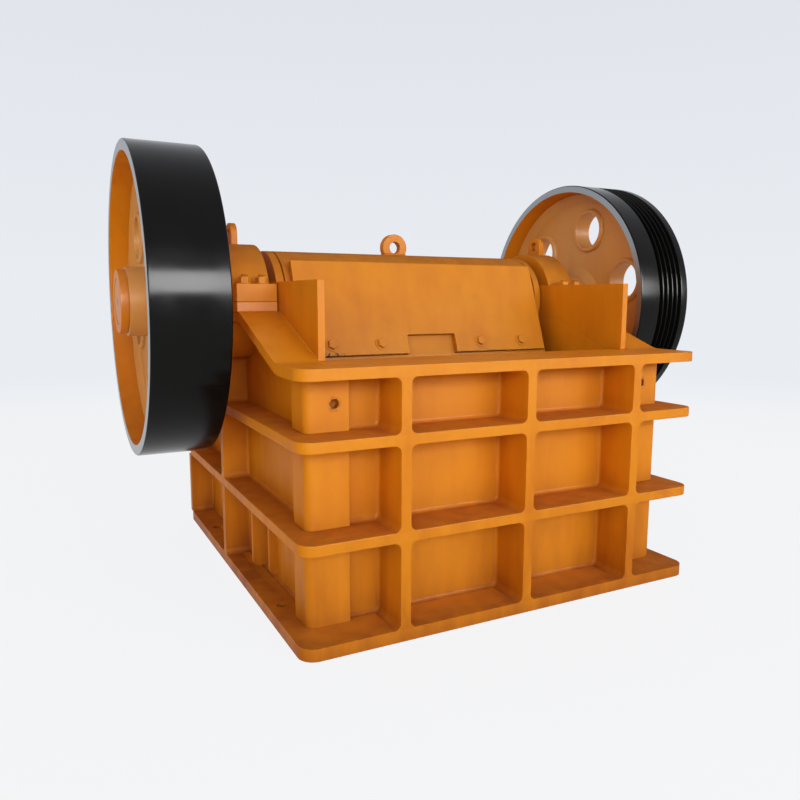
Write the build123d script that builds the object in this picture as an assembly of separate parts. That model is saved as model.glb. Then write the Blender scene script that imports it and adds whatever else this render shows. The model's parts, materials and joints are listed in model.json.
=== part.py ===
"""Jaw crusher with a ribbed frame, a swing jaw on an overhead shaft, a flywheel and a belt pulley.

Millimetres. The origin is the centre of the base's underside. +X runs along the shaft towards the
pulley, +Y runs from the feed wall at the front to the rear wall, and +Z is up.
"""
import math
import os

from build123d import *

# Frame, overall
frame_width = 1630.0
deck_height = 900.0
plan_corner_radius = 55.0

# Top line of the sides, from the front: deck, slope up, bearing seat, slope down, deck
front_deck_length = 220.0
front_slope_run = 415.0
seat_half_length = 316.0
rear_slope_run = 300.0
rear_deck_length = 109.0
slope_rise = 153.0
slope_bend_radius = 120.0

# Plates and ribs of the frame
base_thickness = 42.0
flange_thickness = 36.0
rib_thickness = 36.0
lower_rib_top = 369.0
top_row_height = 180.0
upright_rib_thickness = 36.0
post_rib_gap = 83.0
upright_rib_shift = 19.0
rib_root_radius = 22.0
front_rib_depth = 165.0
side_rib_depth = 108.0
rear_rib_depth = 110.0
side_rib_distance = 945.0
rear_side_rib_inset = 12.0

# Foundation bolt holes
bolt_hole_radius = 17.0
bolt_side_distance = 47.0
bolt_end_distance = 358.0

# Walls
side_wall_thickness = 67.0
front_wall_thickness = 105.0
rear_wall_thickness = 60.0
cheek_thickness = 25.0
cheek_front_distance = 235.0
cheek_rise = 74.0

# Corner posts at the front
post_proud = 35.0
post_width = 149.0
post_side_proud = 45.0
post_return_depth = 90.0
post_edge_radius = 30.0
post_hole_radius = 15.0
post_hole_depth = 28.0
post_hole_inset = 50.0

# Two short stiffening ribs low on each side wall
stub_thickness = 18.0
stub_rise = 23.0
stub_corner_radius = 20.0
front_stub_depth = 30.0
front_stub_distance = 588.0
middle_stub_depth = 60.0
middle_stub_distance = 703.0

# Shaft
shaft_rise = 36.0
journal_radius = 100.0
barrel_shaft_radius = 120.0
barrel_shaft_inset = 5.0
wheel_seat_radius = 85.0
running_clearance = 0.05
seat_clearance = 0.3
shaft_end_length = 28.0
shaft_centre_radius = 18.0
shaft_centre_depth = 16.0
journal_shoulder_length = 26.0

# Bearing housings and caps
housing_radius = 226.0
cap_flange_height = 66.0
housing_side_clearance = 4.0
housing_outer_overhang = 6.0
cap_end_chamfer = 18.0
lug_thickness = 26.0
lug_radius = 44.0
lug_hole_radius = 20.0
lug_rise = 38.0
lug_shift = 8.0
collar_radius = 150.0

# Wheels
wheel_gap = 81.0
flywheel_radius = 583.0
flywheel_width = 260.0
flywheel_rim_thickness = 42.0
pulley_radius = 563.0
pulley_width = 282.0
pulley_rim_thickness = 33.0
rim_edge_chamfer = 4.0
web_thickness = 56.0
web_flare_depth = 24.0
web_flare_reach = 42.0
web_hole_count = 6
web_hole_radius = 84.0
web_lip_width = 20.0
web_lip_height = 17.0
web_lip_chamfer = 7.0
web_hole_rim_gap = 68.0
web_hole_turn = 14.0
hub_radius = 130.0
end_ring_radius = 120.0
end_ring_thickness = 30.0

# Belt grooves of the pulley
groove_count = 5
groove_pitch = 28.6
groove_depth = 18.0
groove_top_width = 24.0
groove_bottom_width = 12.0
groove_outer_margin = 37.0

# Swing jaw
pitman_side_gap = 45.0
barrel_radius = 203.0
barrel_end_width = 37.0
barrel_groove_width = 6.0
barrel_groove_depth = 12.0
pitman_foot_height = 110.0
pitman_foot_depth = 150.0
pitman_back_height = 420.0
discharge_gap = 70.0
jaw_plate_thickness = 60.0
jaw_plate_side_gap = 6.0
jaw_plate_top_gap = 18.0
guard_side_inset = 22.0
guard_thickness = 25.0
guard_foot_drop = 216.0
guard_length = 392.0
guard_lean = 20.0
guard_notch_width = 226.0
guard_notch_height = 80.0
guard_notch_radius = 8.0
guard_ledge_gap = 1.0
eye_outer_radius = 58.0
eye_hole_radius = 25.0
eye_thickness = 34.0
eye_rise = 31.0
eye_shift = 32.0

# Fixed jaw and liners
fixed_jaw_thickness = 55.0
fixed_jaw_foot_height = 70.0
tooth_pitch = 84.0
tooth_depth = 18.0
liner_thickness = 20.0

# Toggle between the swing jaw's foot and the rear wall
toggle_side_inset = 145.0
toggle_thickness = 46.0
toggle_front_height = 240.0
toggle_rear_height = 430.0
toggle_rear_inset = 135.0
toggle_open_gap = 13.0
toggle_block_height = 170.0
toggle_block_overhang = 30.0
toggle_groove_relief = 7.0

# Tension rods and springs
rod_place = 240.0
rod_radius = 17.0
rod_height = 165.0
rod_way_radius = 34.0
rod_tail_length = 20.0
rod_boss_radius = 45.0
rod_boss_reach = 245.0
spring_outer_radius = 46.0
spring_length = 110.0
spring_wall_gap = 14.0
washer_radius = 52.0
washer_thickness = 14.0
nut_radius = 30.0
nut_thickness = 28.0

# Cuts run past the faces they cut by this much
overrun = 5.0

# Places along the width, worked out from the sizes
half_width = frame_width / 2
wall_outer = half_width - side_rib_depth
wall_inner = wall_outer - side_wall_thickness
post_outer = wall_outer + post_side_proud
post_inner = post_outer - post_width
upright_rib_pitch = post_inner - post_rib_gap - upright_rib_thickness / 2 - upright_rib_shift
cheek_outer = wall_inner + cheek_thickness
pitman_half_width = wall_inner - pitman_side_gap
guard_half_width = pitman_half_width - guard_side_inset
toggle_half_width = pitman_half_width - toggle_side_inset
housing_inner = cheek_outer + housing_side_clearance
housing_outer = half_width + housing_outer_overhang
wheel_inner_distance = housing_outer + wheel_gap

# Places along the length
seat_front_distance = front_deck_length + front_slope_run
shaft_distance = seat_front_distance + seat_half_length
frame_length = shaft_distance + seat_half_length + rear_slope_run + rear_deck_length
front_y = -frame_length / 2
rear_y = frame_length / 2
shaft_y = front_y + shaft_distance
slope_start_y = front_y + front_deck_length
seat_front_y = shaft_y - seat_half_length
seat_rear_y = shaft_y + seat_half_length
slope_end_y = seat_rear_y + rear_slope_run
panel_y = front_y + front_rib_depth
chamber_front_y = panel_y + front_wall_thickness
rear_panel_y = rear_y - rear_rib_depth
chamber_rear_y = rear_panel_y - rear_wall_thickness
side_tail_y = rear_y - rear_side_rib_inset
cheek_front_y = front_y + cheek_front_distance
jaw_foot_y = chamber_front_y + fixed_jaw_thickness + discharge_gap + jaw_plate_thickness
toggle_rear_y = chamber_rear_y - toggle_rear_inset
rod_boss_y = jaw_foot_y + rod_boss_reach
spring_y = rear_panel_y + spring_wall_gap
deck_strips = [(front_y, chamber_front_y), (chamber_rear_y, rear_y)]

# Heights
seat_height = deck_height + slope_rise
shaft_height = seat_height + shaft_rise
cheek_height = shaft_height + cheek_rise
flange_underside = deck_height - flange_thickness
upper_rib_top = flange_underside - top_row_height
guard_foot_height = shaft_height - guard_foot_drop
jaw_top_height = guard_foot_height - guard_ledge_gap
rib_rows = [
    (base_thickness, lower_rib_top - rib_thickness),
    (lower_rib_top, upper_rib_top - rib_thickness),
    (upper_rib_top, flange_underside),
]

parts = {}


def block(x0, x1, y0, y1, z0, z1):
    """Box between three pairs of limits."""
    corner = Pos(x0, y0, z0)
    return corner * Box(x1 - x0, y1 - y0, z1 - z0, align=(Align.MIN, Align.MIN, Align.MIN))


def round_bar(radius, x0, x1, y=shaft_y, z=shaft_height):
    """Cylinder along X between x0 and x1, on the shaft axis unless told otherwise."""
    bar = Cylinder(radius, x1 - x0, rotation=(0, 90, 0), align=(Align.CENTER, Align.CENTER, Align.MIN))
    return Pos(x0, y, z) * bar


def bar_along_y(radius, x, y0, y1, z):
    """Cylinder along Y."""
    bar = Cylinder(radius, y1 - y0, rotation=(-90, 0, 0), align=(Align.CENTER, Align.CENTER, Align.MIN))
    return Pos(x, y0, z) * bar


def turned(points):
    """Solid of revolution about the X axis, whose section is given by (x, radius) points."""
    return revolve(make_face(Polyline(*points, close=True)), Axis.X)


def on_shaft(solid):
    """A piece modelled about the X axis, moved on to the shaft axis."""
    return Pos(0, shaft_y, shaft_height) * solid


def rounded_outline(corners):
    """Closed face whose corners are given as (u, v, radius)."""
    points = [(u, v) for u, v, radius in corners]
    radii = [radius for u, v, radius in corners]
    return make_face(FilletPolyline(*points, radius=radii, close=True))


def plate_across(outline, x0, x1):
    """Solid between x0 and x1 whose outline is a face drawn in (y, z)."""
    return extrude(Plane.YZ.offset(x0) * outline, amount=x1 - x0)


def polygon(points):
    """Face with straight edges between its points."""
    return make_face(Polyline(*points, close=True))


def level_plate(z0, z1):
    """Level plate over the whole plan of the frame, with rounded corners."""
    outline = RectangleRounded(frame_width, frame_length, plan_corner_radius)
    return extrude(Plane.XY.offset(z0) * outline, amount=z1 - z0)


def mirrored(solid):
    """The same piece on the other side of the middle plane."""
    return mirror(solid, about=Plane.YZ)


def under_side_line(drop, x0, x1):
    """All that lies under the sides' top line, lowered by drop, between x0 and x1."""
    bend = slope_bend_radius + drop
    outline = rounded_outline([
        (front_y, 0, 0),
        (front_y, deck_height - drop, 0),
        (slope_start_y, deck_height - drop, bend),
        (seat_front_y, seat_height - drop, 0),
        (seat_rear_y, seat_height - drop, 0),
        (slope_end_y, deck_height - drop, bend),
        (rear_y, deck_height - drop, 0),
        (rear_y, 0, 0),
    ])
    return plate_across(outline, x0, x1)


def front_and_rear(piece):
    """The half of a piece in front of the shaft, and the half behind it."""
    reach = frame_width + frame_length
    front = piece & block(-reach, reach, -reach, shaft_y, -reach, reach)
    rear = piece & block(-reach, reach, shaft_y, reach, -reach, reach)
    return front, rear


def make_base_flange():
    plate = level_plate(0, base_thickness)
    bolt_x = half_width - bolt_side_distance
    bolt_y = rear_y - bolt_end_distance
    bolt_hole = Cylinder(bolt_hole_radius, 2 * base_thickness + overrun)
    for x in (-bolt_x, bolt_x):
        for y in (-bolt_y, bolt_y):
            plate -= Pos(x, y, 0) * bolt_hole
    discharge = block(-wall_inner, wall_inner, chamber_front_y, chamber_rear_y,
                      -overrun, base_thickness + overrun)
    return plate - discharge


def make_rib_ring(top):
    """Level rib that runs right round the walls."""
    z0 = top - rib_thickness
    ring = level_plate(z0, top)
    ring -= block(-wall_outer, wall_outer, panel_y, rear_panel_y, z0 - overrun, top + overrun)
    for x0 in (-wall_outer, wall_inner):
        ring -= block(x0, x0 + side_wall_thickness, rear_panel_y - overrun, side_tail_y,
                      z0 - overrun, top + overrun)
    return ring


def make_deck_flange():
    """Deck round the feed mouth, level between the cheeks, whose sides climb to the bearing seats."""
    folded = under_side_line(0, -half_width, half_width)
    folded -= under_side_line(flange_thickness, -half_width - overrun, half_width + overrun)
    flange = level_plate(flange_underside, seat_height) & folded
    flange -= block(-cheek_outer, cheek_outer, front_y - overrun, rear_y + overrun, 0, seat_height + overrun)
    for y0, y1 in deck_strips:
        flange += block(-cheek_outer, cheek_outer, y0, y1, flange_underside, deck_height)
    flange -= round_bar(housing_radius + seat_clearance, -half_width - overrun, half_width + overrun)
    return front_and_rear(flange)


def make_front_wall():
    return block(-wall_inner, wall_inner, panel_y, chamber_front_y, base_thickness, flange_underside)


def make_rear_wall():
    wall = block(-wall_inner, wall_inner, chamber_rear_y, rear_panel_y, base_thickness, flange_underside)
    for x in (-rod_place, rod_place):
        wall -= bar_along_y(rod_way_radius, x, chamber_rear_y - overrun, rear_panel_y + overrun, rod_height)
    return wall


def make_side_wall():
    wall = under_side_line(flange_thickness, wall_inner, wall_outer)
    wall &= block(wall_inner, wall_outer, panel_y, side_tail_y, base_thickness, seat_height)
    saddle = round_bar(housing_radius + seat_clearance, cheek_outer, wall_outer + overrun)
    shaft_way = round_bar(collar_radius, wall_inner - overrun, cheek_outer + overrun)
    for y0, y1 in deck_strips:
        wall -= block(wall_inner - overrun, cheek_outer, y0, y1, flange_underside, seat_height)
    return wall - saddle - shaft_way


def make_cheek():
    """Upper side plate that stands on the side wall, open at the shaft."""
    outline = polygon([
        (cheek_front_y, flange_underside),
        (cheek_front_y, cheek_height),
        (seat_rear_y, cheek_height),
        (slope_end_y, deck_height),
        (slope_end_y, flange_underside),
    ])
    cheek = plate_across(outline, wall_inner, cheek_outer)
    cheek &= block(wall_inner, cheek_outer, cheek_front_y, chamber_rear_y, flange_underside, cheek_height)
    cheek -= under_side_line(flange_thickness, wall_inner - overrun, cheek_outer + overrun)
    x0 = wall_inner - overrun
    x1 = cheek_outer + overrun
    cheek -= block(x0, x1, cheek_front_y - overrun, chamber_front_y, 0, deck_height)
    cheek -= round_bar(collar_radius, x0, x1)
    cheek -= block(x0, x1, shaft_y - collar_radius, shaft_y + collar_radius,
                   shaft_height, cheek_height + overrun)
    return front_and_rear(cheek)


def make_corner_posts():
    """Front ends of a side wall, one solid in each row between the level ribs."""
    post_y0 = panel_y - post_proud
    post_y1 = panel_y + post_return_depth
    outline = rounded_outline([
        (post_inner, post_y0, 0),
        (post_outer, post_y0, post_edge_radius),
        (post_outer, post_y1, 0),
        (wall_outer, post_y1, 0),
        (wall_outer, panel_y, 0),
        (post_inner, panel_y, 0),
    ])
    posts = []
    for z0, z1 in rib_rows:
        posts.append(extrude(Plane.XY.offset(z0) * outline, amount=z1 - z0))
    hole_x = post_inner + post_hole_inset
    hole_end_y = post_y0 + post_hole_depth
    posts[-1] -= bar_along_y(post_hole_radius, hole_x, post_y0 - overrun, hole_end_y, (z0 + z1) / 2)
    return posts


def rib_profile(z0, z1):
    """Front view of an upright rib between two level ribs, flared to both by the root radius."""
    height = z1 - z0
    window_width = 4 * rib_root_radius
    window = RectangleRounded(window_width, height, rib_root_radius)
    window_place = (upright_rib_thickness + window_width) / 2
    profile = Rectangle(upright_rib_thickness + 2 * rib_root_radius, height)
    profile -= Pos(window_place, 0) * window
    profile -= Pos(-window_place, 0) * window
    return Pos(0, (z0 + z1) / 2) * profile


def make_end_ribs(y0, y1):
    """Three upright ribs in each row, on the front or the rear wall."""
    ribs = []
    for column in (-1, 0, 1):
        for z0, z1 in rib_rows:
            place = Pos(column * upright_rib_pitch + upright_rib_shift, 0)
            profile = place * rib_profile(z0, z1)
            ribs.append(extrude(Plane.XZ.offset(-y1) * profile, amount=y1 - y0))
    return ribs


def make_side_ribs():
    """Upright ribs of a side wall: one under the bearing and one at the rear in each row, and the stubs."""
    ribs = []
    half = upright_rib_thickness / 2
    saddle = round_bar(housing_radius + seat_clearance, wall_outer - overrun, half_width + overrun)
    for y in (front_y + side_rib_distance + half, side_tail_y - half):
        for z0, z1 in rib_rows:
            profile = Pos(y, 0) * rib_profile(z0, z1)
            rib = extrude(Plane.YZ.offset(wall_outer) * profile, amount=side_rib_depth)
            rib &= block(wall_outer, half_width, front_y, side_tail_y, z0, z1)
            ribs.append(rib - saddle)
    return ribs + [
        make_stub_rib(front_stub_distance, front_stub_depth),
        make_stub_rib(middle_stub_distance, middle_stub_depth),
    ]


def make_stub_rib(distance, depth):
    """Short upright rib under the lower rib ring, with a rounded foot that stays clear of the base."""
    z0 = base_thickness + stub_rise
    z1 = lower_rib_top - rib_thickness
    outline = rounded_outline([
        (wall_outer, z0, 0),
        (wall_outer + depth, z0, stub_corner_radius),
        (wall_outer + depth, z1, 0),
        (wall_outer, z1, 0),
    ])
    y1 = front_y + distance + stub_thickness
    return extrude(Plane.XZ.offset(-y1) * outline, amount=stub_thickness)


def bearing_bore():
    """Cutter for the shaft's way through a bearing housing and its cap."""
    bore_radius = journal_radius + running_clearance
    return round_bar(bore_radius, housing_inner - overrun, housing_outer + overrun)


def make_housing():
    """Lower half of a bearing housing, let into the side flange."""
    body = block(housing_inner, housing_outer, seat_front_y, seat_rear_y, seat_height, shaft_height)
    drum = round_bar(housing_radius, housing_inner, housing_outer)
    body += drum & block(housing_inner, housing_outer, seat_front_y, seat_rear_y,
                         shaft_height - housing_radius, shaft_height)
    return body - bearing_bore()


def make_cap():
    """Upper half of a bearing housing: flange, dome with a chamfered outer end, and a lifting lug."""
    flange_top = shaft_height + cap_flange_height
    cap = block(housing_inner, housing_outer, seat_front_y, seat_rear_y, shaft_height, flange_top)
    dome = on_shaft(turned([
        (housing_inner, 0),
        (housing_inner, housing_radius),
        (housing_outer - cap_end_chamfer, housing_radius),
        (housing_outer, housing_radius - cap_end_chamfer),
        (housing_outer, 0),
    ]))
    cap += dome & block(housing_inner, housing_outer, seat_front_y, seat_rear_y,
                        shaft_height, shaft_height + housing_radius)
    lug_x0 = (housing_inner + housing_outer - lug_thickness) / 2 + lug_shift
    lug_x1 = lug_x0 + lug_thickness
    lug_z = shaft_height + housing_radius + lug_rise
    cap += round_bar(lug_radius, lug_x0, lug_x1, z=lug_z)
    cap += block(lug_x0, lug_x1, shaft_y - lug_radius, shaft_y + lug_radius, flange_top, lug_z)
    cap -= round_bar(lug_hole_radius, lug_x0 - overrun, lug_x1 + overrun, z=lug_z)
    return cap - bearing_bore()


def make_shaft():
    """Stepped shaft: thick in the barrel, thinner in the bearings, thinnest under the wheels.

    Each end has the cone of a lathe centre.
    """
    flywheel_end = wheel_inner_distance + flywheel_width + shaft_end_length
    pulley_end = wheel_inner_distance + pulley_width + shaft_end_length
    shoulder = housing_outer + journal_shoulder_length
    middle = pitman_half_width - barrel_shaft_inset
    return on_shaft(turned([
        (shaft_centre_depth - flywheel_end, 0),
        (-flywheel_end, shaft_centre_radius),
        (-flywheel_end, wheel_seat_radius),
        (-shoulder, wheel_seat_radius),
        (-shoulder, journal_radius),
        (-middle, journal_radius),
        (-middle, barrel_shaft_radius),
        (middle, barrel_shaft_radius),
        (middle, journal_radius),
        (shoulder, journal_radius),
        (shoulder, wheel_seat_radius),
        (pulley_end, wheel_seat_radius),
        (pulley_end, shaft_centre_radius),
        (pulley_end - shaft_centre_depth, 0),
    ]))


def rim_section(radius, thickness, x0, x1, surface):
    """Section of a rim, chamfered at both edges; surface lists what interrupts its face."""
    return [
        (x0, radius - thickness),
        (x0, radius - rim_edge_chamfer),
        (x0 + rim_edge_chamfer, radius),
        *surface,
        (x1 - rim_edge_chamfer, radius),
        (x1, radius - rim_edge_chamfer),
        (x1, radius - thickness),
    ]


def make_flywheel_rim():
    x1 = -wheel_inner_distance
    return on_shaft(turned(rim_section(flywheel_radius, flywheel_rim_thickness, x1 - flywheel_width, x1, [])))


def make_pulley_rim():
    """Rim with trapezoidal belt grooves near its outer edge."""
    x0 = wheel_inner_distance
    x1 = x0 + pulley_width
    floor = pulley_radius - groove_depth
    grooves = []
    for index in range(groove_count):
        centre = x1 - groove_outer_margin - groove_pitch * (groove_count - index - 1) - groove_pitch / 2
        grooves += [
            (centre - groove_top_width / 2, pulley_radius),
            (centre - groove_bottom_width / 2, floor),
            (centre + groove_bottom_width / 2, floor),
            (centre + groove_top_width / 2, pulley_radius),
        ]
    return on_shaft(turned(rim_section(pulley_radius, pulley_rim_thickness, x0, x1, grooves)))


def make_web(rim_inner_radius, x0, x1):
    """Web and hub of a wheel in one, thicker at the hub and at the rim, with a lip round each hole."""
    middle = (x0 + x1) / 2
    half = web_thickness / 2
    outer = rim_inner_radius - seat_clearance
    right_side = [
        (x1, wheel_seat_radius),
        (x1, hub_radius),
        (middle + half + web_flare_depth, hub_radius),
        (middle + half, hub_radius + web_flare_reach),
        (middle + half, outer - web_flare_reach),
        (middle + half + web_flare_depth, outer),
    ]
    left_side = [(x0 + x1 - x, radius) for x, radius in reversed(right_side)]
    web = turned(right_side + left_side)
    lip_reach = half + web_lip_height
    lip_radius = web_hole_radius + web_lip_width
    lip = turned([
        (-lip_reach, 0),
        (-lip_reach, lip_radius - web_lip_chamfer),
        (web_lip_chamfer - lip_reach, lip_radius),
        (lip_reach - web_lip_chamfer, lip_radius),
        (lip_reach, lip_radius - web_lip_chamfer),
        (lip_reach, 0),
    ])
    hole = round_bar(web_hole_radius, -lip_reach - overrun, lip_reach + overrun, y=0, z=0)
    hole_circle = rim_inner_radius - web_hole_rim_gap - lip_radius
    for index in range(web_hole_count):
        place = Rot(X=web_hole_turn + 360 * index / web_hole_count) * Pos(middle, 0, hole_circle)
        web += place * lip
        web -= place * hole
    return on_shaft(web)


def make_seal_collar():
    """Collar on the shaft between a bearing housing and a wheel."""
    x0 = housing_outer + seat_clearance
    ring = round_bar(collar_radius, x0, wheel_inner_distance)
    return ring - round_bar(journal_radius, x0 - overrun, wheel_inner_distance + overrun)


def make_end_ring(x0):
    """Keeper ring against the outer end of a wheel's hub."""
    ring = round_bar(end_ring_radius, x0, x0 + end_ring_thickness)
    return ring - round_bar(wheel_seat_radius, x0 - overrun, x0 + end_ring_thickness + overrun)


def guard_back_y(height):
    """Where the guard's back plane, which just clears the barrel, stands at a given height."""
    lean = math.radians(guard_lean)
    reach = barrel_radius + seat_clearance - math.sin(lean) * (height - shaft_height)
    return shaft_y - reach / math.cos(lean)


def jaw_face_y(height):
    """Where the front of the swing jaw's body stands at a given height."""
    rise_share = (height - pitman_foot_height) / (jaw_top_height - pitman_foot_height)
    return jaw_foot_y + rise_share * (guard_back_y(jaw_top_height) + seat_clearance - jaw_foot_y)


def pitman_back_y(height):
    """Where the back of the swing jaw's foot stands at a given height."""
    rise_share = (height - pitman_foot_height) / (pitman_back_height - pitman_foot_height)
    return jaw_foot_y + pitman_foot_depth + rise_share * pitman_foot_depth


def make_barrel():
    """Barrel of the swing jaw, whose end rings are marked off by a groove."""
    groove_end = pitman_half_width + barrel_groove_width
    barrel_end = pitman_half_width + barrel_end_width
    neck_radius = barrel_radius - barrel_groove_depth
    right_end = [
        (pitman_half_width, barrel_radius),
        (pitman_half_width, neck_radius),
        (groove_end, neck_radius),
        (groove_end, barrel_radius),
        (barrel_end, barrel_radius),
        (barrel_end, 0),
    ]
    left_end = [(-x, radius) for x, radius in reversed(right_end)]
    return on_shaft(turned(left_end + right_end))


def make_pitman():
    """Swing jaw: a barrel round the shaft and a tapering body that hangs from it."""
    outline = polygon([
        (jaw_foot_y, pitman_foot_height),
        (jaw_face_y(jaw_top_height), jaw_top_height),
        (guard_back_y(shaft_height) + seat_clearance, shaft_height),
        (shaft_y, shaft_height + barrel_radius / 2),
        (shaft_y + barrel_radius, shaft_height),
        (pitman_back_y(pitman_back_height), pitman_back_height),
        (pitman_back_y(pitman_foot_height), pitman_foot_height),
    ])
    x0 = -pitman_half_width
    x1 = pitman_half_width
    pitman = plate_across(outline, x0, x1) + make_barrel()
    for x in (-rod_place, rod_place):
        pitman += bar_along_y(rod_boss_radius, x, jaw_foot_y + pitman_foot_depth / 2, rod_boss_y, rod_height)
    bore_end = x1 + barrel_end_width + overrun
    return pitman - round_bar(barrel_shaft_radius + running_clearance, -bore_end, bore_end)


def make_guard():
    """Flat guard plate over the front of the barrel, notched at the middle of its foot."""
    standing = (Align.CENTER, Align.MAX, Align.MIN)
    plate = Box(2 * guard_half_width, guard_thickness, guard_length, align=standing)
    notch = Box(guard_notch_width, 2 * guard_thickness + overrun, 2 * guard_notch_height)
    plate -= fillet(notch.edges().filter_by(Axis.Y), guard_notch_radius)
    return Pos(0, guard_back_y(guard_foot_height), guard_foot_height) * Rot(X=-guard_lean) * plate


def toothed_plate(width, thickness, height):
    """Plate standing on Z = 0 with its back on Y = 0 and its teeth towards -Y."""
    count = int(width // tooth_pitch)
    pitch = width / count
    points = [(-width / 2, 0), (-width / 2, -thickness + tooth_depth)]
    for index in range(count):
        left = -width / 2 + index * pitch
        points.append((left + pitch / 2, -thickness))
        points.append((left + pitch, -thickness + tooth_depth))
    points.append((width / 2, 0))
    return extrude(polygon(points), amount=height)


def make_moving_jaw():
    """Moving jaw plate on the front of the swing jaw, with upright teeth."""
    run = jaw_face_y(jaw_top_height) - jaw_foot_y
    rise = jaw_top_height - pitman_foot_height
    height = math.hypot(run, rise) - jaw_plate_top_gap
    plate = toothed_plate(2 * (pitman_half_width - jaw_plate_side_gap), jaw_plate_thickness, height)
    return Pos(0, jaw_foot_y, pitman_foot_height) * Rot(X=-math.degrees(math.atan2(run, rise))) * plate


def make_fixed_jaw():
    height = flange_underside - fixed_jaw_foot_height
    plate = toothed_plate(2 * (wall_inner - liner_thickness), fixed_jaw_thickness, height)
    return Pos(0, chamber_front_y, fixed_jaw_foot_height) * Rot(Z=180) * plate


def make_liner():
    """Wear plate on a side wall, beside the crushing chamber."""
    outline = polygon([
        (chamber_front_y, fixed_jaw_foot_height),
        (jaw_face_y(fixed_jaw_foot_height), fixed_jaw_foot_height),
        (jaw_face_y(flange_underside), flange_underside),
        (chamber_front_y, flange_underside),
    ])
    return plate_across(outline, wall_inner - liner_thickness, wall_inner)


def make_toggle():
    """Toggle plate, which leans up from the swing jaw's foot to its block on the rear wall."""
    half = toggle_thickness / 2
    front_pivot_y = pitman_back_y(toggle_front_height) + toggle_open_gap + half
    run = toggle_rear_y - front_pivot_y
    rise = toggle_rear_height - toggle_front_height
    length = math.hypot(run, rise)
    plate = block(-toggle_half_width, toggle_half_width, 0, length, -half, half)
    for end in (0, length):
        plate += Pos(0, end, 0) * Cylinder(half, 2 * toggle_half_width, rotation=(0, 90, 0))
    return Pos(0, front_pivot_y, toggle_front_height) * Rot(X=math.degrees(math.atan2(rise, run))) * plate


def make_toggle_block():
    """Block on the rear wall, grooved for the toggle's rear edge."""
    half = toggle_half_width + toggle_block_overhang
    low = toggle_rear_height - toggle_block_height / 2
    high = toggle_rear_height + toggle_block_height / 2
    body = block(-half, half, toggle_rear_y + toggle_groove_relief, chamber_rear_y, low, high)
    groove_radius = toggle_thickness / 2 + seat_clearance
    groove = round_bar(groove_radius, -half - overrun, half + overrun, y=toggle_rear_y, z=toggle_rear_height)
    return body - groove


def make_tension_rod(x):
    """Rod from the swing jaw's foot, through the rear wall, with its washer and nut."""
    washer_y = spring_y + spring_length
    nut_y = washer_y + washer_thickness
    tail_y = nut_y + nut_thickness
    rod = bar_along_y(rod_radius, x, rod_boss_y, tail_y + rod_tail_length, rod_height)
    rod += bar_along_y(washer_radius, x, washer_y, nut_y, rod_height)
    return rod + bar_along_y(nut_radius, x, nut_y, tail_y, rod_height)


def make_spring(x):
    """Spring round a tension rod, drawn as a sleeve."""
    spring_end_y = spring_y + spring_length
    sleeve = bar_along_y(spring_outer_radius, x, spring_y, spring_end_y, rod_height)
    way_radius = rod_radius + seat_clearance
    return sleeve - bar_along_y(way_radius, x, spring_y - overrun, spring_end_y + overrun, rod_height)


def make_eye():
    """Lifting ring that stands on the barrel."""
    ring = Cylinder(eye_outer_radius, eye_thickness, rotation=(90, 0, 0))
    ring -= Cylinder(eye_hole_radius, 2 * eye_thickness, rotation=(90, 0, 0))
    ring = Pos(-eye_shift, shaft_y, shaft_height + barrel_radius + eye_rise) * ring
    reach = eye_shift + 2 * eye_outer_radius
    return ring - round_bar(barrel_radius, -reach, reach)


def as_node(solids):
    """Several solids of one node kept apart in a compound."""
    return Compound(children=list(solids))


def save_all():
    os.makedirs("parts", exist_ok=True)
    for name, solid in parts.items():
        export_step(solid, os.path.join("parts", name + ".step"))


parts["base_flange"] = make_base_flange()
parts["lower_rib_ring"] = make_rib_ring(lower_rib_top)
parts["upper_rib_ring"] = make_rib_ring(upper_rib_top)
parts["front_deck_flange"], parts["rear_deck_flange"] = make_deck_flange()
parts["front_wall"] = make_front_wall()
parts["rear_wall"] = make_rear_wall()
parts["right_side_wall"] = make_side_wall()
parts["left_side_wall"] = mirrored(parts["right_side_wall"])
parts["right_cheek_plate"], parts["right_rear_cheek_plate"] = make_cheek()
parts["left_cheek_plate"] = mirrored(parts["right_cheek_plate"])
parts["left_rear_cheek_plate"] = mirrored(parts["right_rear_cheek_plate"])
right_posts = make_corner_posts()
parts["right_corner_post"] = as_node(right_posts)
parts["left_corner_post"] = as_node([mirrored(post) for post in right_posts])
parts["front_upright_ribs"] = as_node(make_end_ribs(front_y, panel_y))
parts["rear_upright_ribs"] = as_node(make_end_ribs(rear_panel_y, rear_y))
right_ribs = make_side_ribs()
parts["right_upright_ribs"] = as_node(right_ribs)
parts["left_upright_ribs"] = as_node([mirrored(rib) for rib in right_ribs])
parts["right_bearing_housing"] = make_housing()
parts["left_bearing_housing"] = mirrored(parts["right_bearing_housing"])
parts["right_bearing_cap"] = make_cap()
parts["left_bearing_cap"] = mirrored(parts["right_bearing_cap"])
parts["eccentric_shaft"] = make_shaft()
parts["flywheel_rim"] = make_flywheel_rim()
parts["flywheel_web"] = make_web(flywheel_radius - flywheel_rim_thickness,
                                 -wheel_inner_distance - flywheel_width, -wheel_inner_distance)
parts["pulley_rim"] = make_pulley_rim()
parts["pulley_web"] = make_web(pulley_radius - pulley_rim_thickness,
                               wheel_inner_distance, wheel_inner_distance + pulley_width)
parts["right_seal_collar"] = make_seal_collar()
parts["left_seal_collar"] = mirrored(parts["right_seal_collar"])
parts["pulley_end_ring"] = make_end_ring(wheel_inner_distance + pulley_width)
parts["flywheel_end_ring"] = make_end_ring(-wheel_inner_distance - flywheel_width - end_ring_thickness)
parts["pitman"] = make_pitman()
parts["guard_plate"] = make_guard()
parts["moving_jaw_plate"] = make_moving_jaw()
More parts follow.
